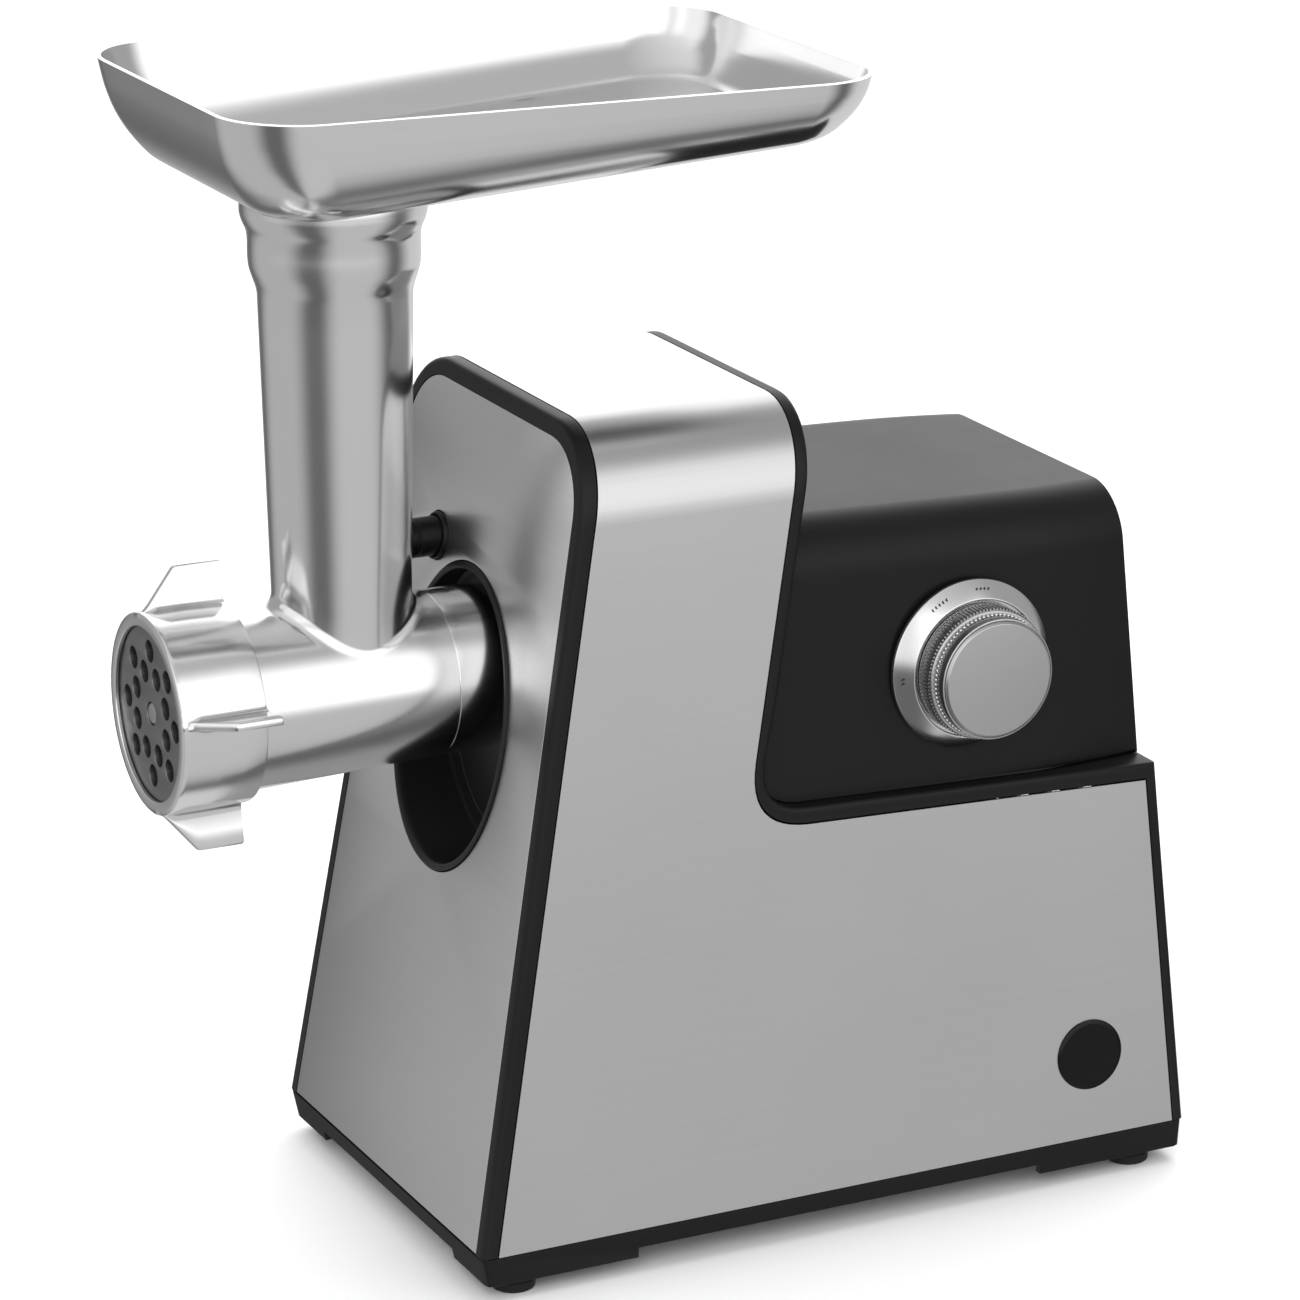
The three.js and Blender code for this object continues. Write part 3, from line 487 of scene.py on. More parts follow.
# corners of a profile cut by short arcs; a third number in a point is its corner radius
def rounded(profile, steps=4):
    shape = []
    for i, point in enumerate(profile):
        here = Vector(point[:2])
        if len(point) < 3 or i in (0, len(profile) - 1):
            shape.append(tuple(here))
            continue
        before, after = Vector(profile[i - 1][:2]), Vector(profile[i + 1][:2])
        reach = min(point[2], (before - here).length * 0.48, (after - here).length * 0.48)
        start = here + (before - here).normalized() * reach
        end = here + (after - here).normalized() * reach
        for k in range(steps + 1):
            t = k / steps
            shape.append(tuple(start * (1 - t) ** 2 + here * 2 * t * (1 - t) + end * t * t))
    return shape


def lerp(a, b, t):
    return a + (b - a) * t


# a smooth line through points
def flowing(points, steps=6):
    vectors = [Vector(p) for p in points]
    line = []
    for i in range(len(vectors) - 1):
        p1, p2 = vectors[i], vectors[i + 1]
        p0 = vectors[i - 1] if i else p1 * 2 - p2
        p3 = vectors[i + 2] if i + 2 < len(vectors) else p2 * 2 - p1
        span = (p2 - p1).length
        m1 = (p2 - p0) * (span / max((p2 - p1).length + (p1 - p0).length, 1e-6))
        m2 = (p3 - p1) * (span / max((p3 - p2).length + (p2 - p1).length, 1e-6))
        for k in range(steps):
            t = k / steps
            line.append(tuple(
                p1 * (2 * t**3 - 3 * t**2 + 1) + m1 * (t**3 - 2 * t**2 + t)
                + p2 * (-2 * t**3 + 3 * t**2) + m2 * (t**3 - t**2)))
    line.append(tuple(vectors[-1]))
    return line


# flat sheet with holes: outlines in x and z, then each point placed by put(x, z, depth)
def cutSheet(name, outlines, thickness, edge, put, angle=30):
    drawing = bpy.data.curves.new(name, "CURVE")
    drawing.dimensions = "2D"
    drawing.fill_mode = "BOTH"
    drawing.extrude = thickness / 2 - edge
    drawing.bevel_depth = edge
    drawing.bevel_resolution = 2
    drawing.offset = -edge
    for outline in outlines:
        line = drawing.splines.new("POLY")
        line.points.add(len(outline) - 1)
        for point, (x, z) in zip(line.points, outline):
            point.co = (x, z, 0, 1)
        line.use_cyclic_u = True
    holder = bpy.data.objects.new(name, drawing)
    bpy.context.collection.objects.link(holder)
    flat = bpy.data.meshes.new_from_object(holder.evaluated_get(bpy.context.evaluated_depsgraph_get()))
    points = [put(*v.co) for v in flat.vertices]
    faces = [tuple(f.vertices) for f in flat.polygons]
    bpy.data.objects.remove(holder)
    return meshPiece(name, points, faces, angle)


def ring(radius, count=48, x=0.0, z=0.0, radiusZ=None):
    tall = radius if radiusZ is None else radiusZ
    return [(x + radius * math.cos(math.tau * i / count), z + tall * math.sin(math.tau * i / count))
            for i in range(count)]


# a CAD solid with its doubles merged, flats joined and edges rounded
def refined(name, node, body, paint, slot, width=0.4, segments=2, angle=30):
    source = frame["nodes"][node]
    piece = bpy.data.objects.new(name, source.data.copy())
    bpy.context.collection.objects.link(piece)
    shape = bmesh.new()
    shape.from_mesh(piece.data)
    shape.transform(source.matrix_world)
    bmesh.ops.remove_doubles(shape, verts=shape.verts, dist=2e-6)
    bmesh.ops.dissolve_limit(shape, angle_limit=math.radians(1), verts=shape.verts, edges=shape.edges)
    shape.to_mesh(piece.data)
    shape.free()
    soften(piece, width, segments, angle)
    bake(piece, 35)
    return settle(piece, body, paint, slot, node)


# ---------- body ----------
body = {
    "halfWidth": 75.2, "halfLength": 122.0, "kink": 9.1,
    "sideTaper": 0.047, "frontLean": 0.175, "rearLean": 0.089,
    "height": 254.8, "shoulder": 26.8,
    "frameBorder": 5.0, "frameDepth": 5.1,
    "wrapRear": -32.4, "wrapLean": 0.176, "panelHeight": 123.4, "panelSlope": 0.035,
    "trimTop": 5.2, "trimRear": 4.1, "trimBand": 4.6, "corner": 18.8,
    "steel": 1.0, "gap": 0.3, "ledge": 13.0,
}
gap = body["gap"]
low = body["kink"] + gap


def frontY(z):
    return -body["halfLength"] + body["frontLean"] * (z - body["kink"])


def rearY(z):
    return body["halfLength"] - body["rearLean"] * (z - body["kink"])


def sideX(z):
    return body["halfWidth"] - body["sideTaper"] * (z - body["kink"])


def wrapRearY(z):
    return body["wrapRear"] + body["wrapLean"] * (z - body["panelHeight"])


def panelTop(y):
    return body["panelHeight"] + body["panelSlope"] * (rearY(body["panelHeight"]) - y)


# stations up the right side, over the shoulder to the middle: each is (kind, value)
arcSteps = 14
crownEdge = sideX(body["height"] - body["shoulder"]) - body["shoulder"]


def outlinePoint(station, inset=0.0):
    kind, value = station
    reach = body["shoulder"] - inset
    if kind == "side":
        return sideX(value) - inset, value
    if kind == "arc":
        centre = body["height"] - body["shoulder"]
        return crownEdge + reach * math.cos(value), centre + reach * math.sin(value)
    return crownEdge * value, body["height"] - inset


def bodyStations(heights):
    top = body["height"] - body["shoulder"]
    half = [("side", z) for z in heights if z < top - 1] + [("side", top)]
    half += [("arc", math.pi / 2 * i / arcSteps) for i in range(1, arcSteps + 1)]
    half += [("top", 0.5), ("top", 0.0)]
    return half


# a half outline's points, mirrored into the whole one
def mirrored(half):
    return half + [(-x, *rest) for x, *rest in reversed(half[:-1])]


# rear boundary of the wrap, or of the trim behind it: (y, z) from the base up
def rearLine(behind, above, rearEdge, radius, steps=12):
    cornerY = wrapRearY(panelTop(body["wrapRear"])) + behind
    corner = Vector((cornerY, panelTop(body["wrapRear"]) + above))
    up = Vector((body["wrapLean"], 1)).normalized()
    back = Vector((1, -body["panelSlope"])).normalized()
    reach = radius * math.tan((math.pi - math.acos(up.dot(back))) / 2)
    start, end = corner + back * reach, corner + up * reach
    edge = body["panelHeight"] + above
    line = [(rearY(z) - rearEdge, z) for z in (low, 45, 85)] + [(rearY(edge) - rearEdge, edge)]
    line += [tuple(Vector(line[-1]).lerp(start, t)) for t in (0.33, 0.66)]
    for k in range(steps + 1):
        t = k / steps
        line.append(tuple(start * (1 - t) ** 2 + corner * 2 * t * (1 - t) + end * t * t))
    for z in (170, 190, 210, body["height"] - body["shoulder"]):
        line.append((wrapRearY(z) + behind, z))
    return line


def sideWrap():
    line = rearLine(0, 0, body["trimRear"], body["corner"])
    half = []
    for station in [("side", z) for _, z in line] + bodyStations([])[1:]:
        x, z = outlinePoint(station)
        index = len(half)
        rear = line[index][0] if index < len(line) else wrapRearY(z)
        half.append((x, z, frontY(z) + body["frameDepth"] + gap, rear))
    rings = [[(x, lerp(front, rear, t), z) for t in (0, 0.25, 0.5, 0.75, 1)]
             for x, z, front, rear in mirrored(half)]
    piece = meshPiece("side_wrap_sheet", *skin(rings, closed=False))
    turnOut(piece)
    thicken(piece, body["steel"])
    return settle(bake(piece, 40), "housing", wrapSteel, "brushed", "side_wrap")


# an open sheet's faces made to point away from the body's middle
def turnOut(piece, middle=(0, 0, 0.1)):
    mesh = piece.data
    outward = sum((p.center - Vector(middle)).dot(p.normal) * p.area for p in mesh.polygons)
    if outward < 0:
        mesh.flip_normals()


# black trim behind the wrap's rear edge, with the ledge that the motor casing stands on
def housingTrim():
    inner = rearLine(gap, gap, body["trimRear"] - gap, body["corner"])
    outer = rearLine(body["trimBand"], body["trimTop"], 0, body["corner"] - body["trimBand"])
    half = []
    count = len(inner)
    extra = bodyStations([])[1:]
    for index in range(count + len(extra)):
        section = []
        if index < count:
            (y0, z0), (y1, z1) = inner[index], outer[index]
            inner3 = lambda inset: Vector((sideX(z0) - inset, y0, z0))
            outer3 = lambda inset: Vector((sideX(z1) - inset, y1, z1))
        else:
            station = extra[index - count]
            _, z0 = outlinePoint(station)
            inner3 = lambda inset: spot(station, inset, wrapRearY(z0) + gap)
            outer3 = lambda inset: spot(station, inset, wrapRearY(z0) + body["trimBand"])
        width = (outer3(0) - inner3(0)).length
        for t, inset in ((0, 0.35), (0.06, 0.0), (0.55, 0.0)):
            section.append(inner3(inset).lerp(outer3(inset), t))
        for turn in range(5):
            a = turn / 4 * math.pi / 2
            t, inset = 1 - 1.3 / width * (1 - math.sin(a)), 1.3 * (1 - math.cos(a))
            section.append(inner3(inset).lerp(outer3(inset), t))
        section.append(outer3(body["ledge"]))
        section.append(inner3(body["ledge"]))
        section.append(inner3(1.3))
        half.append([tuple(p) for p in section])
    rings = half + [[(-x, y, z) for x, y, z in section] for section in reversed(half[:-1])]
    return meshPiece("housing_trim", *skin(rings, caps=(True, True)), angle=40)


def spot(station, inset, y):
    x, z = outlinePoint(station, inset)
    return Vector((x, y, z))


# wall that closes the tall part above the casing
def backWall():
    inset, behind = body["ledge"] - 0.5, body["trimBand"] - 1.2
    half = [outlinePoint(s, inset) for s in bodyStations([208, 218])]
    outline = mirrored(half)
    face = [(x, wrapRearY(z) + behind, z) for x, z in outline]
    back = [(x, y - 2.5, z) for x, y, z in face]
    return meshPiece("back_wall", *skin([face, back], caps=(True, True)))


# black frame round the front plate
def frontFrame():
    depth, border = body["frameDepth"], body["frameBorder"]
    section = rounded([
        (border, 0), (0, 0, 2.2), (0, depth, 0.4), (border + 2, depth), (border + 2, 1.5), (border, 1.5, 0.2),
        (border, 0)], 5)
    section = section[:-1]
    half = []
    for station in bodyStations([low, 60, 110, 160, 200]):
        ringPoints = []
        for inset, deep in section:
            x, z = outlinePoint(station, inset)
            ringPoints.append((x, frontY(z) + deep, z))
        half.append(ringPoints)
    rings = half + [[(-x, y, z) for x, y, z in section] for section in reversed(half[:-1])]
    piece = meshPiece("front_frame_moulding", *skin(rings, caps=(True, True)), angle=40)
    return settle(piece, "housing", trimPlastic, "black", "front_frame")


socket = {"halfWidth": 38.9, "halfHeight": 47.0, "height": 154.0, "floor": -83.0}
button = {"x": -27.3, "height": 203.0, "radius": 6.1, "collar": 1.2, "proud": 13.5, "stem": 2.6}


def frontPlate():
    inset = body["frameBorder"] + gap
    outline = mirrored([outlinePoint(s, inset) for s in bodyStations([low + gap, 60, 110, 160, 200])])
    hole = ring(socket["halfWidth"] + gap, 96, 0, socket["height"], socket["halfHeight"] + gap)
    small = ring(button["radius"] + button["collar"] + gap, 40, button["x"], button["height"])
    piece = cutSheet(
        "front_plate_sheet", [outline, hole, small], body["steel"], 0.15,
        lambda x, z, deep: (x, frontY(z) + 0.1 + body["steel"] / 2 - deep, z))
    return settle(piece, "housing", plateSteel, "brushed", "front_plate")


def headSocket():
    steps = 96
    leaning = [
        (0, 8.0), (0, 0.4), (-0.15, -0.35), (-0.6, -0.7), (-1.6, -0.7), (-2.1, -0.35), (-2.4, 0.4), (-2.4, 2.0)]
    rings = [[(x, socket["floor"] + 2.9, z) for x, z in oval(-0.0, steps)]]
    rings += [[(x, frontY(z) + deep, z) for x, z in oval(grow, steps)] for grow, deep in leaning]
    for grow, y in ((-2.4, -1.6), (-2.7, -0.6), (-3.6, -0.15), (-4.6, 0.0)):
        rings.append([(x, socket["floor"] + y, z) for x, z in oval(grow, steps)])
    for grow, dip in ((-9.0, 0.0), (-9.3, 0.35), (-10.2, 0.35), (-10.5, 0.0)):  # ring pressed into the floor
        rings.append([(x, socket["floor"] + dip, z) for x, z in oval(grow, steps)])
    hole = [(x, z) for x, z in ring(19.8, steps, 0, axisMm)]
    rings.append([(x, socket["floor"], z) for x, z in hole])
    rings.append([(x, socket["floor"] + 2.9, z) for x, z in hole])
    rings.append(rings[0])
    piece = meshPiece("head_socket_dish", *skin(rings), angle=35)
    return settle(piece, "housing", socketPlastic, "black", "head_socket")


def oval(grow, count):
    return ring(socket["halfWidth"] + grow, count, 0, socket["height"], socket["halfHeight"] + grow)


axisMm = axisHeight / mm - underside

casing = {
    "top": 214.4, "slope": 0.033, "inset": 4.7, "rearInset": 8.9, "drawIn": 65.0, "shoulder": 16.5, "wall": 2.5,
}


def casingPoint(kind, value, y, z0):
    part = max(0.0, (y - casing["drawIn"]) / (rearY(casing["top"]) - casing["drawIn"])) ** 2
    inset = casing["inset"] + part * (casing["rearInset"] - casing["inset"])
    top = casing["top"] + casing["slope"] * (rearY(casing["top"]) - y)
    start = top - casing["shoulder"]
    edge = sideX(start) - inset - casing["shoulder"]
    if kind == "side":
        return sideX(value) - inset, y, value
    if kind == "rise":
        z = lerp(z0, start, value)
        return sideX(z) - inset, y, z
    if kind == "arc":
        return edge + casing["shoulder"] * math.cos(value), y, start + casing["shoulder"] * math.sin(value)
    return edge * value, y, top


def motorHousing():
    line = rearLine(body["trimBand"] + gap, body["trimTop"] + gap, 0, body["corner"] - body["trimBand"])[3:]
    line = [p for p in line if p[1] < 182]
    last = line[-1][1]
    rows = [("side", z, y) for y, z in line]
    rows += [("rise", t, None) for t in (0.25, 0.5, 0.75, 1.0)]
    rows += [("arc", math.pi / 2 * i / 12, None) for i in range(1, 13)]
    rows += [("top", 0.5, None), ("top", 0.0, None)]
    columns = [0, 0.1, 0.3, 0.5, 0.58, 0.66, 0.74, 0.8, 0.86, 0.91, 0.96, 1.0]
    half = []
    for kind, value, start in rows:
        points = []
        for t in columns:
            rear = rearY(value)
            y = lerp(start, rear, t) if start is not None else 0.0
            if start is None:
                for _ in range(4):
                    z = casingPoint(kind, value, y, last)[2]
                    y = lerp(wrapRearY(z) + body["trimBand"] + gap, rearY(z), t)
            points.append(casingPoint(kind, value, y, last))
        half.append(points)
    rings = half + [[(-x, y, z) for x, y, z in points] for points in reversed(half[:-1])]
    points, faces = skin(rings, closed=False)
    count = len(columns)
    faces.append(tuple(r * count + count - 1 for r in range(len(rings))))
    piece = meshPiece("motor_casing", points, faces)
    turnOut(piece, (0, 0.04, 0.17))
    thicken(piece, casing["wall"])
    ventCut(piece)
    soften(piece, 0.9, 3, 40)
    return settle(bake(piece, 38), "housing", casePlastic, "black", "motor_housing")


vents = {"count": 5, "first": 150.0, "pitch": 10.0, "height": 3.5, "halfWidth": 32.0}


def ventCut(piece):
    cutters = []
    for i in range(vents["count"]):
        z = vents["first"] + i * vents["pitch"]
        outline = stadium(vents["halfWidth"], vents["height"] / 2, 0, z + vents["height"] / 2)
        rings = [[(x, rearY(h) + deep, h) for x, h in outline] for deep in (-8, 8)]
        cutters.append(meshPiece("cutter", *skin(rings, caps=(True, True))))
    cutter = joined("cutter", *cutters)
    opening = piece.modifiers.new("vents", "BOOLEAN")
    opening.operation = "DIFFERENCE"
    opening.solver = "EXACT"
    opening.object = cutter
    bake(piece)
    bpy.data.objects.remove(cutter)


def stadium(halfWidth, radius, x, z, steps=8):
    points = []
    for side, start in ((1, -0.5), (-1, 0.5)):
        for k in range(steps + 1):
            angle = math.pi * (start + k / steps)
            middle = x + side * (halfWidth - radius)
            points.append((middle + radius * math.cos(angle), z + radius * math.sin(angle)))
    return points


def makeBody():
    sideWrap()
    trim = joined("housing_trim", housingTrim(), backWall())
    settle(trim, "housing", trimPlastic, "black", "housing_shell")
    frontFrame()
    frontPlate()
    headSocket()
    motorHousing()
    print("body made")


makeBody()


# ---------- base, rear panel and small fittings ----------
feet = {"radius": 6.8, "edge": 1.2, "groove": 0.5}
gland = {"bore": 4.0, "neck": 6.0, "flange": 10.5, "thickness": 2.2, "length": 8.0}
screwHead = {"radius": 4.2, "height": 2.2, "recess": 1.8}


def centreOf(node):
    lowest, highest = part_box(node)
    middle = (lowest + highest) / 2 / mm
    return middle.x, middle.y, middle.z - underside


def makeFittings():
    refined("base_skirt", "base_moulding", "housing", trimPlastic, "black", 0.6, 3)
    refined("rear_cover", "rear_panel", "housing", darkPlastic, "dark", 0.4, 2)
    for node in [n for n in frame["nodes"] if n.startswith("foot_")]:
        x, y, z = centreOf(node)
        half = (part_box(node)[1].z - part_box(node)[0].z) / mm / 2
        r = feet["radius"]
        profile = [(0, -half + 0.3), (r - 3, -half + 0.3, 0.4), (r - 2.2, -half, 0.4), (r, -half, feet["edge"]),
                   (r, -half + 3, 0.3), (r - feet["groove"], -half + 3.4, 0.2),
                   (r - feet["groove"], -half + 4.2, 0.2),
                   (r, -half + 4.6, 0.3), (r, half, 0.3), (0, half)]
        foot = turnedPiece(node + "_rubber", profile, "z", (x, y, z), 48)
        settle(foot, "housing", footRubber, "rubber", node)
    for i in range(1, 5):
        node = f"base_screw_{i}"
        x, y, _ = centreOf(node)
        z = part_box(node)[0].z / mm - underside
        r, h = screwHead["radius"], screwHead["height"]
        profile = [(0, screwHead["recess"]), (1.3, screwHead["recess"] - 0.6), (1.7, 0.1, 0.1), (2.4, 0, 0.2),
                   (r, 0.5, 0.5),
                   (r, h, 0.2), (2, h + 0.6), (2, h + 11.8, 0.3), (0, h + 11.8)]
        screw = turnedPiece(node + "_turned", profile, "z", (x, y, z), 32)
        settle(screw, "housing", partSteel, "steel_parts", node)
    x, _, z = centreOf("inlet_gland")
    y, g = rearY(z), gland
    profile = [
        (g["bore"], -9), (8, -9, 0.4), (8, 1.4), (g["flange"], 1.4, 0.3),
        (g["flange"], 1.4 + g["thickness"], 1.0), (g["neck"] + 1.6, 4.2, 0.8), (g["neck"], g["length"], 0.6),
        (g["bore"], g["length"], 0.4), (g["bore"], -9)]
    piece = turnedPiece("cord_inlet_gland", profile, "y", (x, y, z), 48)
    settle(piece, "housing", footRubber, "rubber", "inlet_gland")
    badge()
    print("base and fittings made")


badgeLook = {"radius": 11.4, "height": 0.95, "y": 87.5, "z": 37.0}


def badge():  # a plain gloss disc, slightly domed, on the leaning side
    r, h = badgeLook["radius"], badgeLook["height"]
    profile = [(0, h), (r * 0.6, h - 0.03), (r - 0.9, h - 0.12, 0.4), (r, h - 0.5, 0.35), (r, 0.2), (0, 0.2)]
    points, faces = turned(rounded(profile), "x", (0, 0, 0), 96)
    lean = Matrix.Rotation(-math.atan(body["sideTaper"]), 3, "Y")
    at = Vector((sideX(badgeLook["z"]), badgeLook["y"], badgeLook["z"]))
    points = [tuple(lean @ Vector(p) + at) for p in points]
    settle(meshPiece("badge_plain_disc", points, faces), "housing", badgeGloss, "gloss_black", "badge_disc")


def makeButton():
    x, z, r = button["x"], button["height"], button["radius"]
    plane = frontY(z)
    outer = r + button["collar"]
    rings = []
    for radius, deep in ((outer, 6), (outer, -0.7), (outer - 0.15, -1.05), (outer - 0.4, -1.2),
                         (r + gap + 0.25, -1.2), (r + gap, -0.95), (r + gap, 6)):
        rings.append([(px, frontY(pz) + deep, pz) for px, pz in ring(radius, 64, x, z)])
    rings.append(rings[0])
    settle(meshPiece("button_collar_ring", *skin(rings)), "housing", trimPlastic, "black", "button_collar")
    end = -button["proud"]
    profile = [(0, end + 0.5), (r * 0.55, end + 0.4), (r * 0.8, end + 0.1, 0.4), (r - 0.6, end, 0.5),
               (r, end + 0.7, 0.5),
               (r, end + 5.2, 0.1), (r - 0.25, end + 5.4, 0.1), (r - 0.25, end + 5.9, 0.1), (r, end + 6.1, 0.1),
               (r, 3.5, 0.2), (button["stem"], 3.5), (button["stem"], 24, 0.3), (0, 24)]
    cap = turnedPiece("release_button_cap", profile, "y", (x, plane, z), 64)
    settle(cap, "button", trimPlastic, "dark", "release_button")


# ---------- shapes repeated round an axis, with Geometry Nodes ----------
# the tree stands small blocks or beads on an arc in the plane across X, and moves them to the dial's centre
def repeatTree(kind, paint):
    tree = bpy.data.node_groups.new("repeat " + kind, "GeometryNodeTree")
    tree.interface.new_socket("Geometry", in_out="OUTPUT", socket_type="NodeSocketGeometry")
    for name, sort in (("Count", "Int"), ("Radius", "Float"), ("Start", "Float"), ("Sweep", "Float"),
                       ("Size", "Vector"), ("Place", "Vector")):
        tree.interface.new_socket(name, in_out="INPUT", socket_type="NodeSocket" + sort)

    def add(nodeKind, settings=None, links=None):
        made = tree.nodes.new(nodeKind)
        for key, value in (settings or {}).items():
            setattr(made, key, value)
        for key, value in (links or {}).items():
            if isinstance(value, bpy.types.NodeSocket):
                tree.links.new(value, made.inputs[key])
            else:
                made.inputs[key].default_value = value
        return made

    given = add("NodeGroupInput").outputs
    arc = add("GeometryNodeCurveArc", {"mode": "RADIUS"}, {
        "Resolution": given["Count"], "Radius": given["Radius"],
        "Start Angle": given["Start"], "Sweep Angle": given["Sweep"]})
    stops = add("GeometryNodeCurveToMesh", {}, {"Curve": arc.outputs["Curve"]})
    if kind == "beads":
        single = add("GeometryNodeMeshUVSphere", {}, {"Segments": 8, "Rings": 5, "Radius": 0.5}).outputs["Mesh"]
        scaled = add("GeometryNodeTransform", {}, {"Geometry": single, "Scale": given["Size"]})
        single = scaled.outputs["Geometry"]
    else:
        single = add("GeometryNodeMeshCube", {}, {"Size": given["Size"]}).outputs["Mesh"]
    facing = add("FunctionNodeAlignRotationToVector", {"axis": "X"}, {
        "Vector": add("GeometryNodeInputPosition").outputs["Position"]})
    copies = add("GeometryNodeInstanceOnPoints", {}, {
        "Points": stops.outputs["Mesh"], "Instance": single, "Rotation": facing.outputs["Rotation"]})
    stood = add("GeometryNodeTransform", {}, {
        "Geometry": copies.outputs["Instances"], "Rotation": (math.pi / 2, 0, math.pi / 2),
        "Translation": given["Place"]})
    solid = add("GeometryNodeRealizeInstances", {}, {"Geometry": stood.outputs["Geometry"]})
    painted = add("GeometryNodeSetMaterial", {}, {"Geometry": solid.outputs["Geometry"], "Material": paint})
    add("NodeGroupOutput", {}, {"Geometry": painted.outputs["Geometry"]})
    return tree


def repeated(name, kind, paint, **values):
    piece = bpy.data.objects.new(name, bpy.data.meshes.new(name))
    bpy.context.collection.objects.link(piece)
    maker = piece.modifiers.new(kind, "NODES")
    maker.node_group = repeatTree(kind, paint)
    for item in maker.node_group.interface.items_tree:
        if item.in_out == "INPUT":
            maker[item.identifier] = values[item.name]
    bake(piece, 50 if kind == "beads" else 30)
    return piece


# ---------- dial ----------
dial = {
    "radius": 26.9, "seat": 63.0, "face": 82.7,
    "knob": 18.9, "skirt": 20.2, "cap": 18.2,
    "ribs": 110, "ribWidth": 0.55, "ribLength": 5.6, "ribHeight": 0.7,
    "beads": 84, "beadSize": 1.15,
    "tickRadius": 24.3, "tickStep": 0.055,
}


def makeDial():
    dial["seat"] = sideX(dialCentre.z / mm - underside) - casing["inset"]
    y, z = dialCentre.y / mm, dialCentre.z / mm - underside
    seat, r = dial["seat"] + 0.3, dial["radius"]
    profile = [(9, -6), (r - 3.4, -6, 0.3), (r - 3.4, 0.2), (r - 0.5, 0.2, 0.3), (r, 0.7, 0.3), (r, 1.9, 0.5),
               (21.9, 6.5, 0.5), (21.4, 6.3, 0.2), (21.4, 5), (9, 5, 0.2), (9, -6)]
    bezel = turnedPiece("dial_bezel_ring", profile, "x", (seat, y, z), 128)
    settle(bezel, "housing", dialSteel, "satin_steel", "dial_bezel")
    long = dial["face"] - dial["seat"]
    k = dial["knob"]
    skirt = dial["skirt"]
    profile = [(3.4, -14, 0.3), (3.4, 5.8), (skirt - 0.4, 5.8, 0.3), (skirt, 6.2, 0.3), (skirt, 13.4, 0.3),
               (skirt - 0.3, 13.8, 0.2),
               (18.3, 14.0, 0.3), (18.3, 15.3, 0.3), (k, 15.5, 0.3), (k, long - 0.9, 0.3),
               (18.4, long - 0.8, 0.1),
               (18.4, long - 1.5), (0, long - 1.5)]
    profile = [(0, -14)] + profile
    knob = turnedPiece("dial_knob_turned", profile, "x", (dial["seat"], y, z), 128)
    settle(knob, "dial", knobSteel, "satin_steel", "dial_knob")
    c = dial["cap"]
    profile = [(0, -1.6), (c, -1.6, 0.2), (c, -0.75, 0.2), (c - 0.75, 0, 0.15), (0, 0)]
    cap = turnedPiece("knob_cap_disc", profile, "x", (dial["face"], y, z), 128)
    settle(cap, "dial", knobSteel, "satin_steel", "knob_cap")

    def at(along):
        return ((dial["seat"] + along) * mm, dialCentre.y, dialCentre.z)

    full = math.tau
    ribs = repeated("dial_knurl_ribs", "ribs", knobSteel, Count=dial["ribs"],
                    Radius=dial["skirt"] * mm, Start=0.0, Sweep=full * (1 - 1 / dial["ribs"]),
                    Size=(dial["ribHeight"] * mm, dial["ribWidth"] * mm, dial["ribLength"] * mm), Place=at(9.9))
    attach(ribs, "dial")
    size = dial["beadSize"] * mm
    beads = repeated("dial_bead_ring", "beads", ringAlloy, Count=dial["beads"], Radius=19.0 * mm, Start=0.0,
                     Sweep=full * (1 - 1 / dial["beads"]), Size=(size, size, size), Place=at(14.6))
    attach(beads, "dial")
    ticks = []
    for start, count, length in ((1.02, 5, 1.6), (0.42, 4, 1.2), (2.2, 1, 2.2)):
        turn = math.pi / 2 + start - 0.6
        ticks.append(repeated("dial_ticks", "ticks", tickPaint, Count=max(count, 2),
                              Radius=dial["tickRadius"] * mm, Start=turn, Sweep=dial["tickStep"] * max(count - 1, 1),
                              Size=(length * mm, 0.35 * mm, 0.3 * mm), Place=at(4.65)))
    marks = joined("dial_ticks", *ticks)
    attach(marks, "housing")
    print("dial made")


# ---------- grinding head ----------
head = {
    "tubeY": -131.3, "fillet": 4.6, "steps": 96,
    "barrelFront": (27.1, -167.4), "barrelRear": (25.3, -104.4),
    "bore": 22.5, "boreFront": -178.0, "boreRear": -87.0,
}


def slide(table, at):  # value from a table of (place, value)
    if at <= table[0][0]:
        return table[0][1]
    for (a, va), (b, vb) in zip(table, table[1:]):
        if at <= b:
            return lerp(va, vb, (at - a) / (b - a))
    return table[-1][1]


def outerBarrel(y):
    (r0, y0), (r1, y1) = head["barrelFront"], head["barrelRear"]
    return slide([(y0, r0), (y1, r1)], y)


def outerTube(z):
    return slide([(150, 20.6), (196, 20.9), (290.5, 22.9)], z)


def innerTube(z):
    return slide([(axisMm, 18.8), (290.5, 20.4)], z)


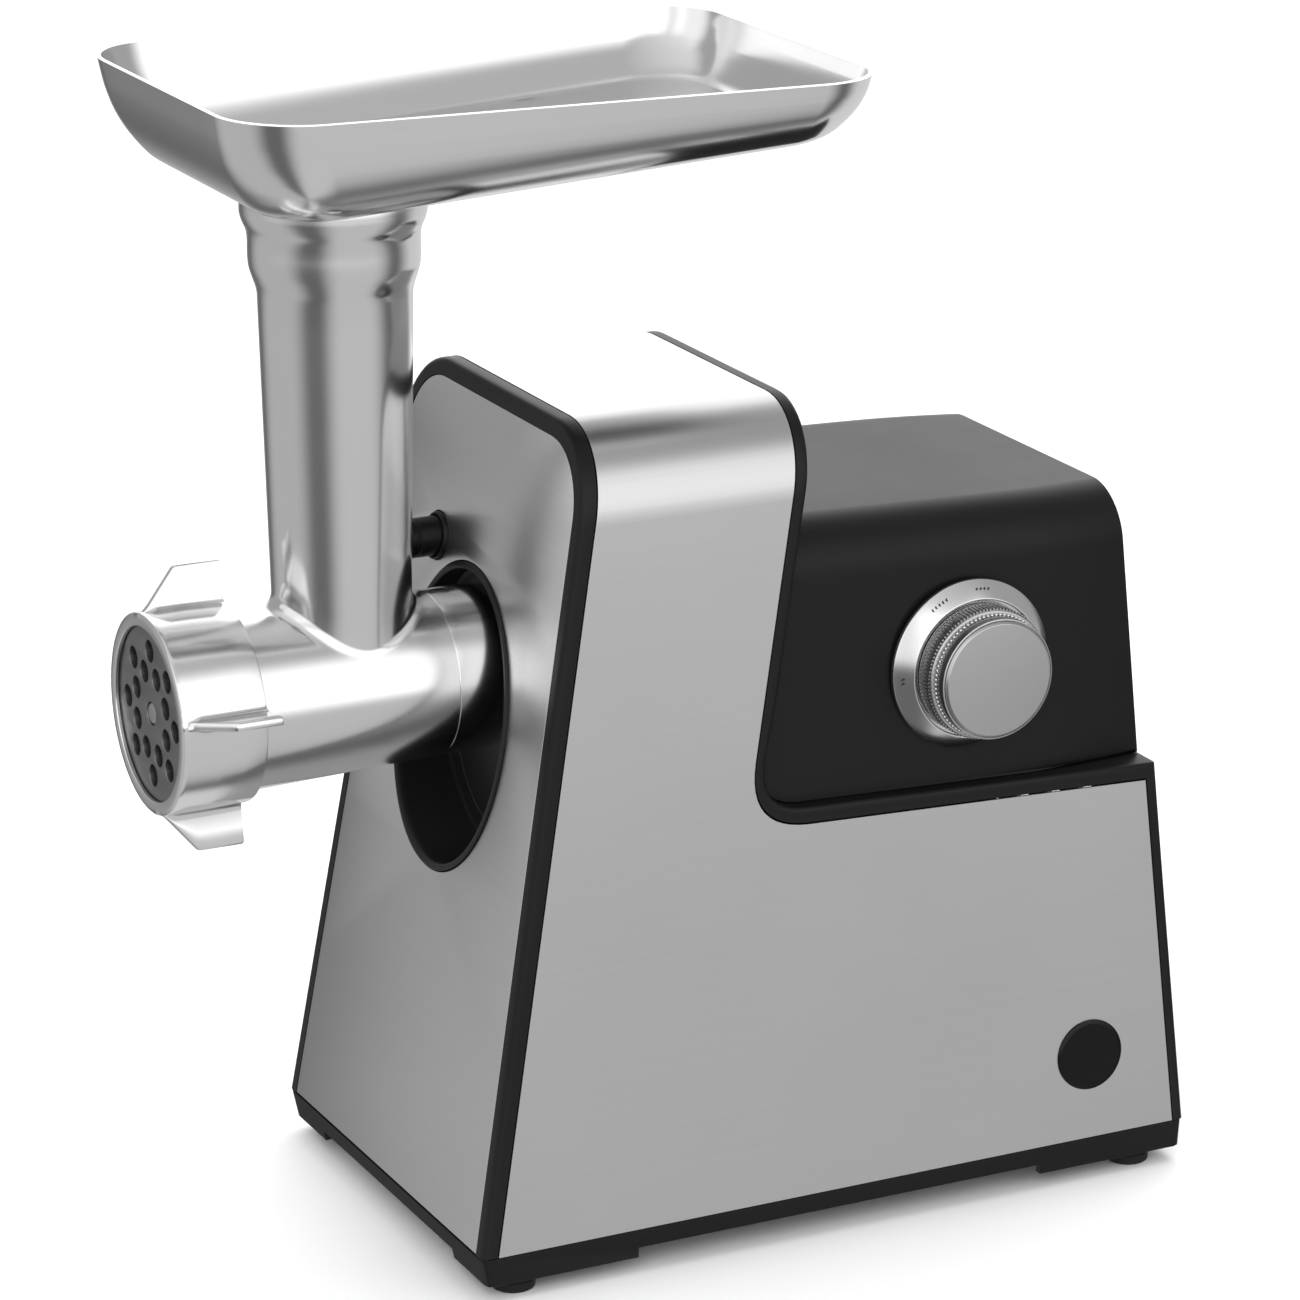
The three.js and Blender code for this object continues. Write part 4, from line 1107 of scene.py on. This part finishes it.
# rings of the fillet that a ball rolling between tube and barrel leaves, tube side first
def rollingFillet(barrelAt, tubeAt, ball, arcs):
    rings = [[] for _ in range(arcs + 1)]
    for i in range(head["steps"]):
        phi = math.tau * i / head["steps"]
        across, along = math.cos(phi), math.sin(phi)
        z, y = axisMm + 30, head["tubeY"] + 26 * along
        for _ in range(6):
            reach = tubeAt(z) + ball
            x, y = reach * across, head["tubeY"] + reach * along
            bend = barrelAt(y) + ball
            z = axisMm + math.sqrt(bend * bend - x * x)
        centre = Vector((x, y, z))
        toTube = Vector((-across, -along, 0))
        toBarrel = -Vector((x, 0, z - axisMm)).normalized()
        wide = toTube.angle(toBarrel, 0.0)
        for k in range(arcs + 1):
            t = k / max(arcs, 1)
            if wide < 1e-6 or ball == 0:
                way = toTube
            else:
                way = (toTube * math.sin((1 - t) * wide) + toBarrel * math.sin(t * wide)) / math.sin(wide)
            rings[k].append(tuple(centre + way * ball))
    return rings


# barrel wall between two stations, with the tube's opening left out
def barrelPatch(radiusAt, front, rear, opening):
    unit = 25.0
    count = head["steps"]
    rows = 2 + int((rear - front) / 1.7)
    holeUv = [Vector((math.atan2(x, z - axisMm) * unit, y)) for x, y, z in opening]

    def inside(p):
        hit = False
        for a, b in zip(holeUv, holeUv[1:] + holeUv[:1]):
            if (a.y > p.y) != (b.y > p.y) and p.x < (b.x - a.x) * (p.y - a.y) / (b.y - a.y) + a.x:
                hit = not hit
        return hit

    flat = list(holeUv)
    edges = [(i, (i + 1) % len(holeUv)) for i in range(len(holeUv))]
    for r in range(rows + 1):
        for i in range(count + 1):
            p = Vector(((i / count * math.tau - math.pi) * unit, lerp(front, rear, r / rows)))
            border = r in (0, rows) or i in (0, count)
            if border or (not inside(p) and min((p - h).length for h in holeUv) > 0.7):
                flat.append(p)
    made = geometry.delaunay_2d_cdt(flat, edges, [], 0, 1e-6)
    points = []
    for p in made[0]:
        radius, angle = radiusAt(p.y), p.x / unit
        points.append((radius * math.sin(angle), p.y, axisMm + radius * math.cos(angle)))
    faces = [tuple(f) for f in made[2] if not inside(sum((made[0][v] for v in f), Vector((0, 0))) / len(f))]
    return points, faces


def gathered(*parts):
    points, faces = [], []
    for somePoints, someFaces in parts:
        faces += [tuple(v + len(points) for v in f) for f in someFaces]
        points += somePoints
    return points, faces


def tubeRings(start, radiusAt, heights):
    count = len(start)
    rings = [start]
    for t in (0.3, 0.6, 1.0):
        row = []
        for i, (_, _, z0) in enumerate(start):
            z = lerp(z0, heights[0], t)
            row.append(tubePoint(radiusAt(z), i / count, z))
        rings.append(row)
    rings += [[tubePoint(radiusAt(z), i / count, z) for i in range(count)] for z in heights[1:]]
    return rings


def tubePoint(radius, part, z):
    angle = math.tau * part
    return radius * math.cos(angle), head["tubeY"] + radius * math.sin(angle), z


collar = [(22.9, 290.5), (23.3, 292.6), (24.3, 295.6), (25.1, 298.4), (25.4, 301.5), (25.4, 307.2), (25.8, 309.8),
          (26.9, 312.4), (27.5, 314.8), (27.5, 317.2)]


def grinderHead():
    outerRings = rollingFillet(outerBarrel, outerTube, head["fillet"], 7)
    innerRings = rollingFillet(lambda y: head["bore"], innerTube, 0.0, 0)
    (r0, y0), (r1, y1) = head["barrelFront"], head["barrelRear"]
    outside = barrelPatch(outerBarrel, y0, y1, outerRings[-1])
    insideWall = barrelPatch(lambda y: head["bore"], head["boreFront"], head["boreRear"], innerRings[-1])
    mouth = rounded([
        (r0, y0), (28.2, -168.2, 0.3), (28.2, -191.2, 0.5), (27.0, -191.2, 0.2), (27.0, -187.9), (25, -187.9, 0.2),
        (25, -179, 0.4),
        (head["bore"], head["boreFront"])])
    rear = rounded([
        (head["bore"], head["boreRear"]), (10.2, -87, 0.3), (10.2, -77.7, 0.3), (19.5, -77.7, 0.5), (19.5, -83.3),
        (24, -83.3, 1.2),
        (24.9, -86.6, 1.5), (25.05, -90, 0.5), (25.05, -103.9, 0.15), (24.85, -104.1, 0.1), (25.3, -104.25, 0.1),
        (r1, y1)])
    centre = (0, 0, axisMm)
    tall = tubeRings(outerRings[0], outerTube, [212, 230, 250, 270, 282])
    top = flowing(collar, 4) + rounded([(27.5, 317.2), (27.4, 319.5, 1.0), (23.2, 319.5, 0.5), (23.1, 316)], 4)[1:]
    top += [(23.1, 306)] + flowing([(23.1, 300.5), (22.6, 297), (21, 292.5), (20.4, 289)], 4)
    count = head["steps"]
    lip = [[tubePoint(radius, i / count, z) for i in range(count)] for radius, z in top]
    throat = tubeRings(innerRings[0], innerTube, [212, 240, 270, 285])[::-1]
    piece = meshPiece("grinder_head_casting", *gathered(
        outside, insideWall, earRings(), turned(mouth, "y", centre, count, False),
        turned(rear, "y", centre, count, False),
        skin(outerRings), skin(tall + lip + throat)), angle=38, merge=1e-3)
    settle(piece, "head", headAlloy, "polished", "grinder_head")


# three bayonet ears behind the barrel's end
def earRings():
    parts = []
    for i in range(3):
        middle = math.pi / 2 + math.tau / 3 * i
        outline = []
        for reach, turns in ((19.3, (0.349, 0.17, 0, -0.17, -0.349)), (23, (-0.33, -0.17, 0, 0.17, 0.33))):
            outline += [(reach * math.cos(middle + a), reach * math.sin(middle + a)) for a in turns]
        sides = [[(x, y, axisMm + z) for x, z in outline] for y in (-79.7, -77.7)]
        parts.append(skin(sides, caps=(True, True)))
    return gathered(*parts)


nut = {"front": -194.2, "rear": -167.6, "radius": 30.4, "lip": 26.3, "bore": 28.5,
       "wings": 4, "reach": 43.0, "half": 1.3, "turn": -9.0, "root": 2.6, "tip": 0.8, "rampEnd": -182.0}


def nutOutline(radius, reach, y, arcs=14):
    high = max(reach - radius, 0.004)
    root, tip, half = min(nut["root"], high * 0.6), min(nut["tip"], high * 0.3), nut["half"]
    start = half + root
    side = []
    for k in range(6):
        t = k / 5
        a = Vector((-start, math.sqrt(radius**2 - start**2)))
        b, c = Vector((-half, math.sqrt(radius**2 - half**2))), Vector((-half, radius + root))
        side.append(a * (1 - t) ** 2 + b * 2 * t * (1 - t) + c * t * t)
    for t in (0.5,):
        side.append(Vector((-half, lerp(radius + root, radius + high - tip, t))))
    for k in range(4):
        a = k / 3 * math.pi / 2
        side.append(Vector((-half + tip * (1 - math.cos(a)), radius + high - tip + tip * math.sin(a))))
    fin = side + [Vector((-p.x, p.y)) for p in reversed(side)]
    step = math.tau / nut["wings"]
    begin = math.atan2(fin[-1].x, fin[-1].y)
    points = []
    for w in range(nut["wings"]):
        turn = math.radians(nut["turn"]) + w * step
        for p in fin:
            across = p.x * math.cos(turn) + p.y * math.sin(turn)
            points.append((across, y, axisMm + p.y * math.cos(turn) - p.x * math.sin(turn)))
        for k in range(1, arcs):
            angle = turn + lerp(begin, step - begin, k / arcs)
            points.append((radius * math.sin(angle), y, axisMm + radius * math.cos(angle)))
    return points


def ringNut():
    n = nut
    front, rear, r = n["front"], n["rear"], n["radius"]
    stations = [
        (front, r - 1.0, 0), (front + 0.12, r - 0.5, 0), (front + 0.4, r - 0.12, 0), (front + 0.9, r, 0),
        (front + 1.7, r, 0)]
    ramp = 9
    for k in range(1, ramp + 1):
        y = lerp(front + 1.9, n["rampEnd"] - 0.7, k / ramp)
        stations.append((y, r, lerp(r, n["reach"] - 0.9, k / ramp)))
    tip = n["reach"]
    stations += [
        (n["rampEnd"] - 0.1, r, tip - 0.3), (n["rampEnd"] + 0.7, r, tip), (-175, r - 0.15, tip),
        (rear - 0.7, r - 0.3, tip), (rear - 0.25, r - 0.4, tip - 0.15), (rear, r - 0.8, tip - 0.6)]
    rings = [nutOutline(radius, reach, y) for y, radius, reach in stations]
    angles = [math.atan2(x, z - axisMm) for x, _, z in rings[-1]]
    inner = rounded([(29.2, rear), (n["bore"], rear, 0.4), (n["bore"], -193.0), (n["lip"], -193.0, 0.1),
                     (n["lip"], front, 0.35), (28.4, front)])
    rings += [[(radius * math.sin(a), y, axisMm + radius * math.cos(a)) for a in angles] for radius, y in inner]
    rings.append(rings[0])
    piece = meshPiece("ring_nut_casting", *skin(rings), angle=40)
    settle(piece, "ring", ringAlloy, "polished", "ring_nut")


plate = {
    "radius": 26.8, "face": -192.7, "thickness": 4.5, "hole": 3.4,
    "rings": ((19.25, 0.0), (12.7, 22.5)), "holes": 8, "stud": 3.6,
}


def cuttingPlate():
    outlines = [ring(plate["radius"], 96, 0, axisMm), ring(plate["stud"], 32, 0, axisMm)]
    for distance, turn in plate["rings"]:
        for i in range(plate["holes"]):
            a = math.radians(turn) + math.tau * i / plate["holes"]
            outlines.append(ring(plate["hole"], 32, distance * math.cos(a), axisMm + distance * math.sin(a)))
    middle = plate["face"] + plate["thickness"] / 2
    piece = cutSheet(
        "cutting_plate_ground", outlines, plate["thickness"], 0.2, lambda x, z, deep: (x, middle - deep, z))
    settle(piece, "head", bladeSteel, "plate_steel", "cutting_plate")


auger = {"front": -183.5, "rear": -92.0, "pitch": 27.0, "core": 8.0, "reach": 21.6, "stud": 3.3}


def makeAuger():
    a = auger
    rings = []
    steps, around = 170, 56
    for i in range(steps + 1):
        y = lerp(a["front"], a["rear"], i / steps)
        turn = (y - a["front"]) / a["pitch"] * math.tau
        row = []
        for j in range(around):
            angle = j / around * math.tau
            lobe = max(0.0, 1 - abs(angle - math.pi) / 0.95)
            swell = min(1.0, lobe * 2.2)
            swell = swell * swell * (3 - 2 * swell)
            radius = a["core"] + (a["reach"] - a["core"]) * swell
            row.append((radius * math.cos(angle + turn), y, axisMm + radius * math.sin(angle + turn)))
        rings.append(row)
    flight = skin(rings, caps=(True, True))
    centre = (0, 0, axisMm)
    pin = a["stud"]
    stud = turned(rounded([(0, -192.45), (pin - 0.5, -192.5, 0.2), (pin, -192.0, 0.2), (pin, -180), (0, -180)]),
                  "y", centre, 48)
    shoulder = turned(rounded([(0, -93), (9.8, -93, 0.4), (9.8, -82, 0.4), (0, -82)]), "y", centre, 48)
    squares = []
    for half, start, end in ((4.5, -187.9, -182), (4.3, -83, -66)):
        outline = rounded([
            (-half, 0), (-half, -half, 0.5), (half, -half, 0.5), (half, half, 0.5), (-half, half, 0.5),
            (-half, 0)], 3)
        outline = outline[:-1]
        ends = [[(x, y, axisMm + z) for x, z in outline] for y in (start, end)]
        squares.append(skin(ends, caps=(True, True)))
    piece = meshPiece("auger_casting", *gathered(flight, stud, shoulder, *squares), angle=45)
    settle(piece, "screw", screwSteel, "cast", "auger")


def makeHead():
    grinderHead()
    ringNut()
    cuttingPlate()
    makeAuger()
    refined("cross_blade_ground", "cross_blade", "screw", partSteel, "steel_parts", 0.25, 2)
    print("grinding head made")


# ---------- tray ----------
tray = {
    "rim": 353.4, "halfWidth": 68.2, "front": -184.8, "rear": 19.3, "pitch": -0.019,
    "floor": 323.3, "floorSlope": 0.054, "wall": 1.2, "corner": 24.0,
    "frontDraw": 1.15, "rearDraw": 0.7,
    "neck": 26.7, "neckFillet": 2.6, "seat": 319.8, "spigot": 22.8, "spigotEnd": 303.0,
}
trayCurve = [(0, 0), (1.4, 0.25), (3.7, 0.48), (7.6, 0.7), (12, 0.86), (18, 0.96), (26, 1.0)]
trayTighten = [(0, 0), (3.7, 0), (7.6, 1), (12, 3), (18, 6), (26, 11)]
patchInset = 18.0  # inside this ring the floor is one fitted patch


trayParts = [(inset, min(part, 1.0)) for inset, part in flowing(trayCurve, 6)]


def trayHeight(y, part):
    rimZ = tray["rim"] + tray["pitch"] * (y - (tray["front"] + tray["rear"]) / 2)
    floorZ = tray["floor"] + tray["floorSlope"] * (y - head["tubeY"])
    return lerp(rimZ, floorZ, part)


def trayEdges(inset):
    front, rear = tray["front"] + tray["frontDraw"] * inset, tray["rear"] - tray["rearDraw"] * inset
    return tray["halfWidth"] - inset, front, rear, tray["corner"] - inset * 0.1 - slide(trayTighten, inset)


def trayOutline(inset, corner=14, along=12, across=8):
    half, front, rear, radius = trayEdges(inset)
    points = []
    quarters = [(1, rear, 0, across), (-1, rear, 1, along), (-1, front, 2, across), (1, front, 3, along)]
    for q, (sx, edge, turn, straight) in enumerate(quarters):
        cx, cy = sx * (half - radius), edge - radius if turn < 2 else edge + radius
        for k in range(corner + 1):
            a = (turn + k / corner) * math.pi / 2
            points.append(Vector((cx + radius * math.cos(a), cy + radius * math.sin(a))))
        sx2, edge2, turn2, _ = quarters[(q + 1) % 4]
        a = (turn + 1) * math.pi / 2
        nextCentre = Vector((sx2 * (half - radius), edge2 - radius if turn2 < 2 else edge2 + radius))
        start, end = points[-1], nextCentre + Vector((math.cos(a), math.sin(a))) * radius
        points += [start.lerp(end, k / straight) for k in range(1, straight)]
    return points


def trayPartAt(p):  # how far down the wall a point of the plan lies
    low, high = 0.0, 26.0

    def within(inset):
        half, front, rear, radius = trayEdges(inset)
        qx = abs(p.x) - (half - radius)
        qy = abs(p.y - (front + rear) / 2) - ((rear - front) / 2 - radius)
        return math.hypot(max(qx, 0), max(qy, 0)) + min(max(qx, qy), 0) < radius

    if within(high):
        return 1.0
    for _ in range(24):
        middle = (low + high) / 2
        low, high = (middle, high) if within(middle) else (low, middle)
    return slide(trayParts, low)


def makeTray():
    insets = [inset for inset, _ in trayParts if inset < patchInset - 0.1] + [patchInset]
    rings = []
    for inset in insets:
        rings.append([(p.x, p.y, trayHeight(p.y, slide(trayParts, inset))) for p in trayOutline(inset)])
    walls = skin(rings)
    # fitted floor between the last ring and the neck's fillet
    border = trayOutline(patchInset)
    centre = Vector((0, head["tubeY"]))
    steps = 72
    fillet = tray["neckFillet"]
    neckEdge = tray["neck"] + fillet
    circle = [centre + Vector((math.cos(math.tau * i / steps), math.sin(math.tau * i / steps))) * neckEdge
              for i in range(steps)]
    flat = border + circle
    edges = [(i, (i + 1) % len(border)) for i in range(len(border))]
    edges += [(len(border) + i, len(border) + (i + 1) % steps) for i in range(steps)]
    half, front, rear, radius = trayEdges(patchInset)
    spacing = 3.5
    for i in range(int(2 * half / spacing) + 1):
        for j in range(int((rear - front) / spacing) + 1):
            p = Vector((-half + spacing * (i + 0.5), front + spacing * (j + 0.5)))
            if not inRound(p, half, front, rear, radius, 1.5) or (p - centre).length < neckEdge + 1.5:
                continue
            flat.append(p)
    made = geometry.delaunay_2d_cdt(flat, edges, [], 0, 1e-5)
    faces = []
    for f in made[2]:
        middle = sum((made[0][v] for v in f), Vector((0, 0))) / len(f)
        if (middle - centre).length > neckEdge - 0.1 and inRound(middle, half, front, rear, radius, -0.02):
            faces.append(tuple(f))
    patch = ([(p.x, p.y, trayHeight(p.y, trayPartAt(p))) for p in made[0]], faces)
    neckRings = []
    for k in range(6):
        a = k / 5 * math.pi / 2
        out, drop = tray["neck"] + fillet * (1 - math.sin(a)), fillet * (1 - math.cos(a))
        row = []
        for i, p in enumerate(circle):
            way = (p - centre).normalized()
            q = centre + way * out
            row.append((q.x, q.y, max(trayHeight(p.y, trayPartAt(p)) - drop, tray["seat"] + 0.02 * (6 - k))))
        neckRings.append(row)
    seat, spigot = tray["seat"], tray["spigot"]
    seatLine = [(tray["neck"], seat + 0.3), (tray["neck"] - 0.3, seat), (spigot + 0.3, seat), (spigot, seat - 0.3),
                (spigot, 312), (spigot, tray["spigotEnd"])]
    for radius, z in seatLine:
        neckRings.append([(centre.x + radius * math.cos(math.tau * i / steps),
                           centre.y + radius * math.sin(math.tau * i / steps), z) for i in range(steps)])
    piece = meshPiece("hopper_tray_pan", *gathered(walls, patch, skin(neckRings)), angle=60, merge=1e-3)
    turnOut(piece, (0, -0.083, 0.352))
    thicken(piece, tray["wall"], even=False)
    soften(piece, 0.4, 3, 60)
    settle(bake(piece, 50), "tray", trayAlloy, "tray", "hopper_tray")
    print("tray made")


def inRound(p, half, front, rear, radius, margin):
    qx = abs(p.x) - (half - radius)
    qy = abs(p.y - (front + rear) / 2) - ((rear - front) / 2 - radius)
    return math.hypot(max(qx, 0), max(qy, 0)) + min(max(qx, qy), 0) < radius - margin


# ---------- inner pieces kept from CAD ----------
innerFinishes = {
    "button_spring": partSteel, "button_guide": darkPlastic, "rotary_switch": gearNylon,
    "suppressor_board": boardLaminate,
    "gearbox_case": alloyCase, "gearbox_cover": alloyCase, "output_gear": partSteel, "middle_gear": gearNylon,
    "first_gear": gearNylon, "output_bush": bushBronze, "motor_rotor": partSteel, "motor_stator": partSteel,
    "field_coil_left": coilCopper, "field_coil_right": coilCopper, "brush_holder_left": coilCopper,
    "brush_holder_right": coilCopper, "motor_fan": darkPlastic, "motor_front_bearing": partSteel,
    "motor_rear_bearing": partSteel, "motor_bracket": alloyCase, "motor_cradle": darkPlastic,
}


def finishInner():
    for node, paint in innerFinishes.items():
        for slot in frame["nodes"][node].material_slots:
            slot.link = "OBJECT"
            slot.material = paint
    print("inner pieces finished")


makeFittings()
makeButton()
makeDial()
makeHead()
makeTray()
finishInner()
